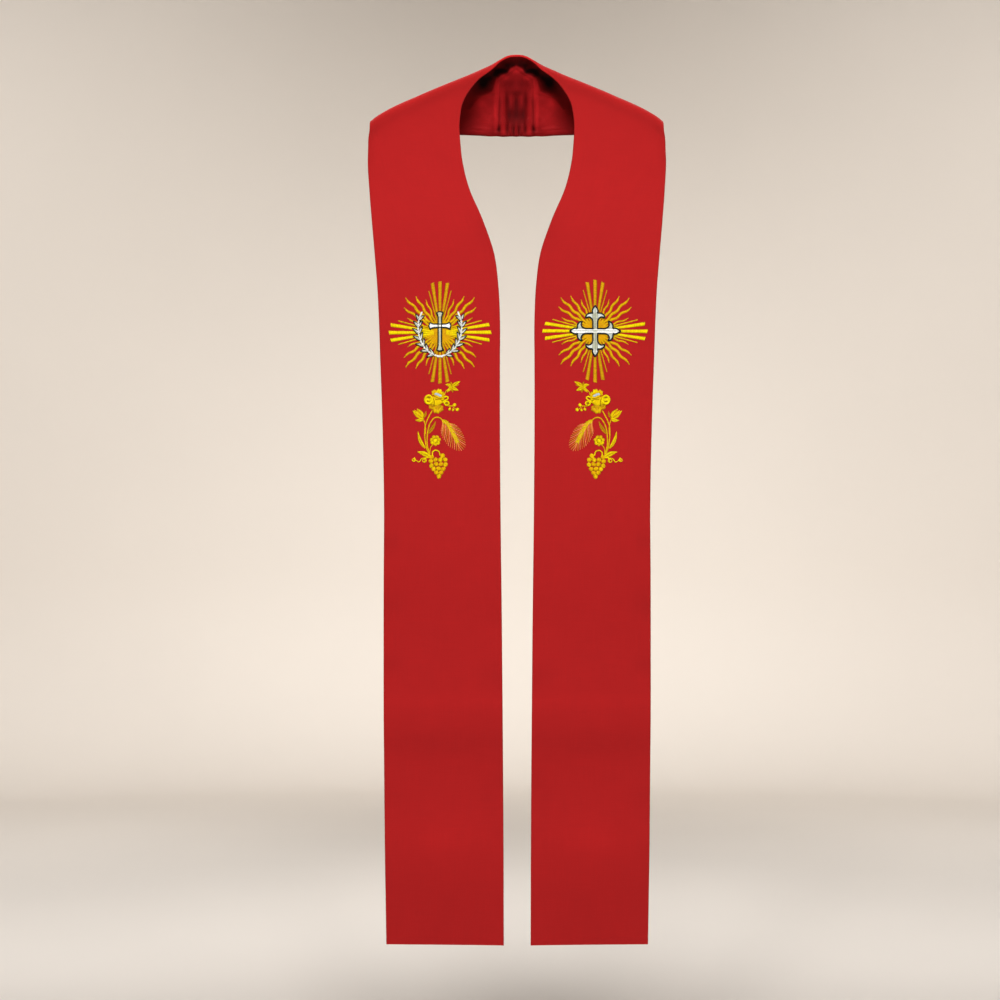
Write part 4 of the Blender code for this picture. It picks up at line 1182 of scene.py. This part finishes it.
def sew_wheat(stitches, settings):
    """A bowed ear of wheat: plump grains along its line, and long awns with the cloth between them."""
    bright, _, orange = golds(settings)
    line = smooth(EAR_LINE, 60)
    way = unit(np.gradient(line, axis=0))
    ends = smooth(AWN_ENDS, EAR["awns"])
    for k, part in enumerate(np.linspace(0, 1, EAR["awns"])):
        near_side = part < 0.5
        root = line[int(59 * ((2 * part) ** 1.6 if near_side else (2 - 2 * part) ** 1.1 * 0.96 + 0.04))]
        aside = turned(ends[k] - root, 90) * (0.05 if near_side else -0.05)
        stitches.cord(smooth((root, (root + ends[k]) / 2 + aside, ends[k]), 14), np.linspace(0.64, 0.44, 14),
                      AWN_TONES[k % 3], foot=0.1, rise=0.9, twist=2.0)
    for k in range(EAR["grains"]):
        at = int(57 * k / (EAR["grains"] - 1))
        for turn in (26, -26):
            lean = turned(way[at], turn)
            root = line[at] + lean * 0.3
            stitches.leaf(root, root + lean * 5.0, 2.8, (bright, bright * 0.62 + orange * 0.3), lift=0.5)


def sew_flower(stitches, bright, deep):
    """A small round flower: plump petals round a bright heart, the upper ones deeper."""
    middle, radius, petals = np.array(FLOWER["middle"]), FLOWER["radius"], FLOWER["petals"]
    for petal in range(petals):
        place = turned((0, radius * 0.66), petal * 360 / petals + 25)
        tone = deep if place[1] > 1 or petal == 3 else bright
        stitches.knot(middle + place, radius * 0.35, tone, petal * 50, foot=0.1)
        stitches.knot(middle + place * 0.72, 0.75, deep * 0.5, height=0.3, foot=0.75)
    stitches.knot(middle, radius * 0.36, bright * 1.1, height=0.7, foot=0.5)


def sew_sprig(stitches, settings):
    """Rose, leaves, wheat, a small flower, grapes and tendrils on two bowed stems."""
    bright, olive_and_shade, orange = golds(settings)
    tones = {"bright": (bright, bright * 0.65 + olive_and_shade * 0.35), "warm": (bright * 0.6 + orange * 0.4, orange),
             "deep": (orange * 0.9, olive_and_shade * 0.8)}
    for index, stem in enumerate(STEMS):
        radius = 0.8 if index < MAIN_STEMS else 0.55
        stitches.cord(smooth(stem, 30), radius, bright * 0.4 + olive_and_shade * 0.3 + orange * 0.3)
    winding = np.linspace(0, 1, 50)
    for x, y, size in CURLS:
        spin = np.stack([np.cos(2 + winding * 8.5), np.sin(2 + winding * 8.5)], axis=-1)
        stitches.cord(spin * (size * (1 - winding * 0.6))[:, None] + (x, y), 0.6, bright, foot=0.1)
    for route, count, radius, foot in zip(TENDRILS, (40, 30), (0.6, 0.8), (0, 0.2)):
        stitches.cord(smooth(route, count), radius, bright, foot=foot)
    for foot, tip, width, bend, tone in LEAVES:
        stitches.leaf(foot, tip, width, tones[tone], bend)
    sew_wheat(stitches, settings)
    sew_rose(stitches, settings)
    sew_flower(stitches, bright, olive_and_shade * 0.5 + bright * 0.45)
    for x, y, radius in BERRIES:
        stitches.knot((x, y), radius, bright)
    ripe = (bright * 0.55 + orange * 0.45, orange * 0.8 + bright * 0.2, bright * 0.35 + orange * 0.65)
    for k, middle in enumerate(GRAPES):
        stitches.knot(middle, GRAPE_RADIUS, ripe[k % 3], 25 + 40 * (k % 3), height=1.2)


# ---- Operators ----------------------------------------------------------------------------------

def fasten(piece, node):
    """Rides the piece on the stole, in place of its solid."""
    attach(piece, "root")
    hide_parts(node)


class STOLE_OT_outer_cloth(bpy.types.Operator):
    """Builds both halves of the outer cloth, their edges turned in"""
    bl_idname = "stole.outer_cloth"
    bl_label = "Outer Cloth"

    def execute(self, context):
        settings = context.scene.stole_cloth
        stations, material = outer_stations(settings.station_step / MM), woven_cloth(settings)
        for name, side in SIDES.items():
            piece = wall(f"outer_cloth_{name}", side, stations, outer_profile, outer_offset, outer_painted_shading,
                         material)
            fasten(piece, f"outer_{name}")
        return {"FINISHED"}


class STOLE_OT_lining(bpy.types.Operator):
    """Builds both halves of the satin lining, with the folds that the neck seam draws up"""
    bl_idname = "stole.lining"
    bl_label = "Lining"

    def execute(self, context):
        settings = context.scene.stole_cloth
        stations, material = lining_stations(settings.station_step / MM), satin_lining(settings)
        for name, side in SIDES.items():
            piece = wall(f"lining_cloth_{name}", side, stations, lining_profile, lining_offset, lining_painted_shading,
                         material)
            fasten(piece, f"lining_{name}")
        return {"FINISHED"}


class STOLE_OT_sunbursts(bpy.types.Operator):
    """Stitches a gold sunburst on each front"""
    bl_idname = "stole.sunbursts"
    bl_label = "Sunbursts"

    def execute(self, context):
        settings = context.scene.stole_embroidery
        for index, (name, side) in enumerate(SIDES.items()):
            stitches = Stitches(settings, SEEDS["sunburst"] + index)
            sew_sunburst(stitches, settings, name)
            piece = stitches.sew(f"sunburst_stitches_{name}", side, SUNBURST_AT[name], floss(*GOLD_FLOSS))
            fasten(piece, f"sunburst_{name}")
        return {"FINISHED"}


class STOLE_OT_emblems(bpy.types.Operator):
    """Stitches a silver emblem on each sunburst"""
    bl_idname = "stole.emblems"
    bl_label = "Emblems"

    def execute(self, context):
        settings = context.scene.stole_embroidery
        sewing = {"right": sew_palms_and_cross, "left": sew_cross_fleury}
        for index, (name, side) in enumerate(SIDES.items()):
            stitches = Stitches(settings, SEEDS["emblem"] + index)
            sewing[name](stitches, settings)
            piece = stitches.sew(f"emblem_stitches_{name}", side, SUNBURST_AT[name], floss(*SILVER_FLOSS))
            fasten(piece, f"emblem_{name}")
        return {"FINISHED"}


class STOLE_OT_sprigs(bpy.types.Operator):
    """Stitches a sprig of rose, wheat and grapes under each sunburst"""
    bl_idname = "stole.sprigs"
    bl_label = "Sprigs"

    def execute(self, context):
        settings = context.scene.stole_embroidery
        for name, side in SIDES.items():
            stitches = Stitches(settings, SEEDS["sprig"])
            sew_sprig(stitches, settings)
            middle = np.array(SUNBURST_AT[name]) + SPRIG_FROM_SUNBURST[name]
            piece = stitches.sew(f"sprig_stitches_{name}", side, middle, floss(*GOLD_FLOSS))
            fasten(piece, f"sprig_{name}")
        return {"FINISHED"}


def round_room(material):
    """A round floor that curves up into a wall."""
    reach, cove, count = ROOM["radius"] - ROOM["cove"], ROOM["cove"], ROOM["segments"]
    rings = [(0.02, FLOOR_AT), (reach * 0.5, FLOOR_AT)]
    rings += [(reach + cove * sin(turn), FLOOR_AT + cove * (1 - cos(turn)))
              for turn in np.linspace(0, pi / 2, 14)]
    rings.append((ROOM["radius"], ROOM["top"]))
    spin = np.arange(count) * 2 * pi / count
    points = np.concatenate([np.stack([radius * np.cos(spin), radius * np.sin(spin), np.full(count, height)],
                                      axis=-1) for radius, height in rings])
    return built("floor", points, ring_faces(len(rings), count) + [tuple(range(count))], material)


def add_lamp(name, place, target, size, beam, power, colour):
    """A soft square lamp, or a lamp held to a beam that fades to its edge."""
    lamp = bpy.data.lights.new(name, "SPOT" if beam else "AREA")
    if beam:
        lamp.spot_size, lamp.spot_blend, lamp.shadow_soft_size = radians(beam), 1, size / 2
        power = power * BEAM_POWER
    else:
        lamp.shape, lamp.size = "SQUARE", size
    lamp.energy, lamp.color = power, colour
    thing = bpy.data.objects.new(name, lamp)
    thing.location = place
    thing.visible_camera = False
    bpy.context.scene.collection.objects.link(thing)
    thing.rotation_euler = (Vector(target) - thing.location).to_track_quat("-Z", "Y").to_euler()


def add_camera(scene, distance):
    """A level camera in front of the stole."""
    lens = bpy.data.cameras.new("camera")
    lens.sensor_width = SENSOR
    lens.lens = SENSOR * distance / (VIEW_HEIGHT * MM)
    thing = bpy.data.objects.new("camera", lens)
    thing.location = (CAMERA_AT[0] * MM, FRONT_PLANE * MM - distance, CAMERA_AT[1] * MM)
    thing.rotation_euler = (pi / 2, 0, 0)
    scene.collection.objects.link(thing)
    scene.camera = thing


class STOLE_OT_stage(bpy.types.Operator):
    """Sets the pale round room, the soft lights and the camera"""
    bl_idname = "stole.stage"
    bl_label = "Stage"

    def execute(self, context):
        scene, settings = context.scene, context.scene.stole_stage
        finish = Finish("pale_floor", roughness=0.9, specular=0.15)
        spot = finish.add("ShaderNodeTexCoord", output="Object")
        pale, deep = shade(settings.floor_colour, 1.02), shade(settings.floor_colour, 0.98)
        finish.surface("Base Color", finish.blend(finish.noise(spot, (0.6, 0.6, 0.6)), deep, pale))
        round_room(finish.material)
        for name, place, target, size, beam, share, tint in LIGHTS:
            add_lamp(name, place, target, size, beam, settings.key_power * share, tint)
        scene.world = bpy.data.worlds.new("studio")
        scene.world.use_nodes = True
        background = scene.world.node_tree.nodes["Background"]
        background.inputs["Color"].default_value = (*ROOM_TINT, 1)
        background.inputs["Strength"].default_value = settings.room_light
        add_camera(scene, settings.camera_distance)
        scene.view_settings.view_transform = "Standard"
        return {"FINISHED"}


class STOLE_PT_panel(bpy.types.Panel):
    """Lists the stole's settings and the operators that build it"""
    bl_idname = "STOLE_PT_panel"
    bl_label = "Clerical Stole"
    bl_space_type = "VIEW_3D"
    bl_region_type = "UI"
    bl_category = "Stole"

    def draw(self, context):
        for name in GROUPS:
            group = getattr(context.scene, name)
            box = self.layout.box()
            for key in group.__annotations__:
                box.prop(group, key)
        for operator in OPERATORS:
            self.layout.operator(operator.bl_idname)


OPERATORS = (STOLE_OT_outer_cloth, STOLE_OT_lining, STOLE_OT_sunbursts, STOLE_OT_emblems, STOLE_OT_sprigs,
             STOLE_OT_stage)
GROUPS = {"stole_cloth": StoleCloth, "stole_embroidery": StoleEmbroidery, "stole_stage": StoleStage}


def register():
    for kind in (*GROUPS.values(), *OPERATORS, STOLE_PT_panel):
        bpy.utils.register_class(kind)
    for name, group in GROUPS.items():
        setattr(bpy.types.Scene, name, bpy.props.PointerProperty(type=group))


def unregister():
    for name in GROUPS:
        delattr(bpy.types.Scene, name)
    for kind in (STOLE_PT_panel, *reversed(OPERATORS), *reversed(tuple(GROUPS.values()))):
        bpy.utils.unregister_class(kind)


def main():
    register()
    bpy.ops.stole.outer_cloth()
    bpy.ops.stole.lining()
    bpy.ops.stole.sunbursts()
    bpy.ops.stole.emblems()
    bpy.ops.stole.sprigs()
    bpy.ops.stole.stage()


if __name__ == "__main__":
    main()
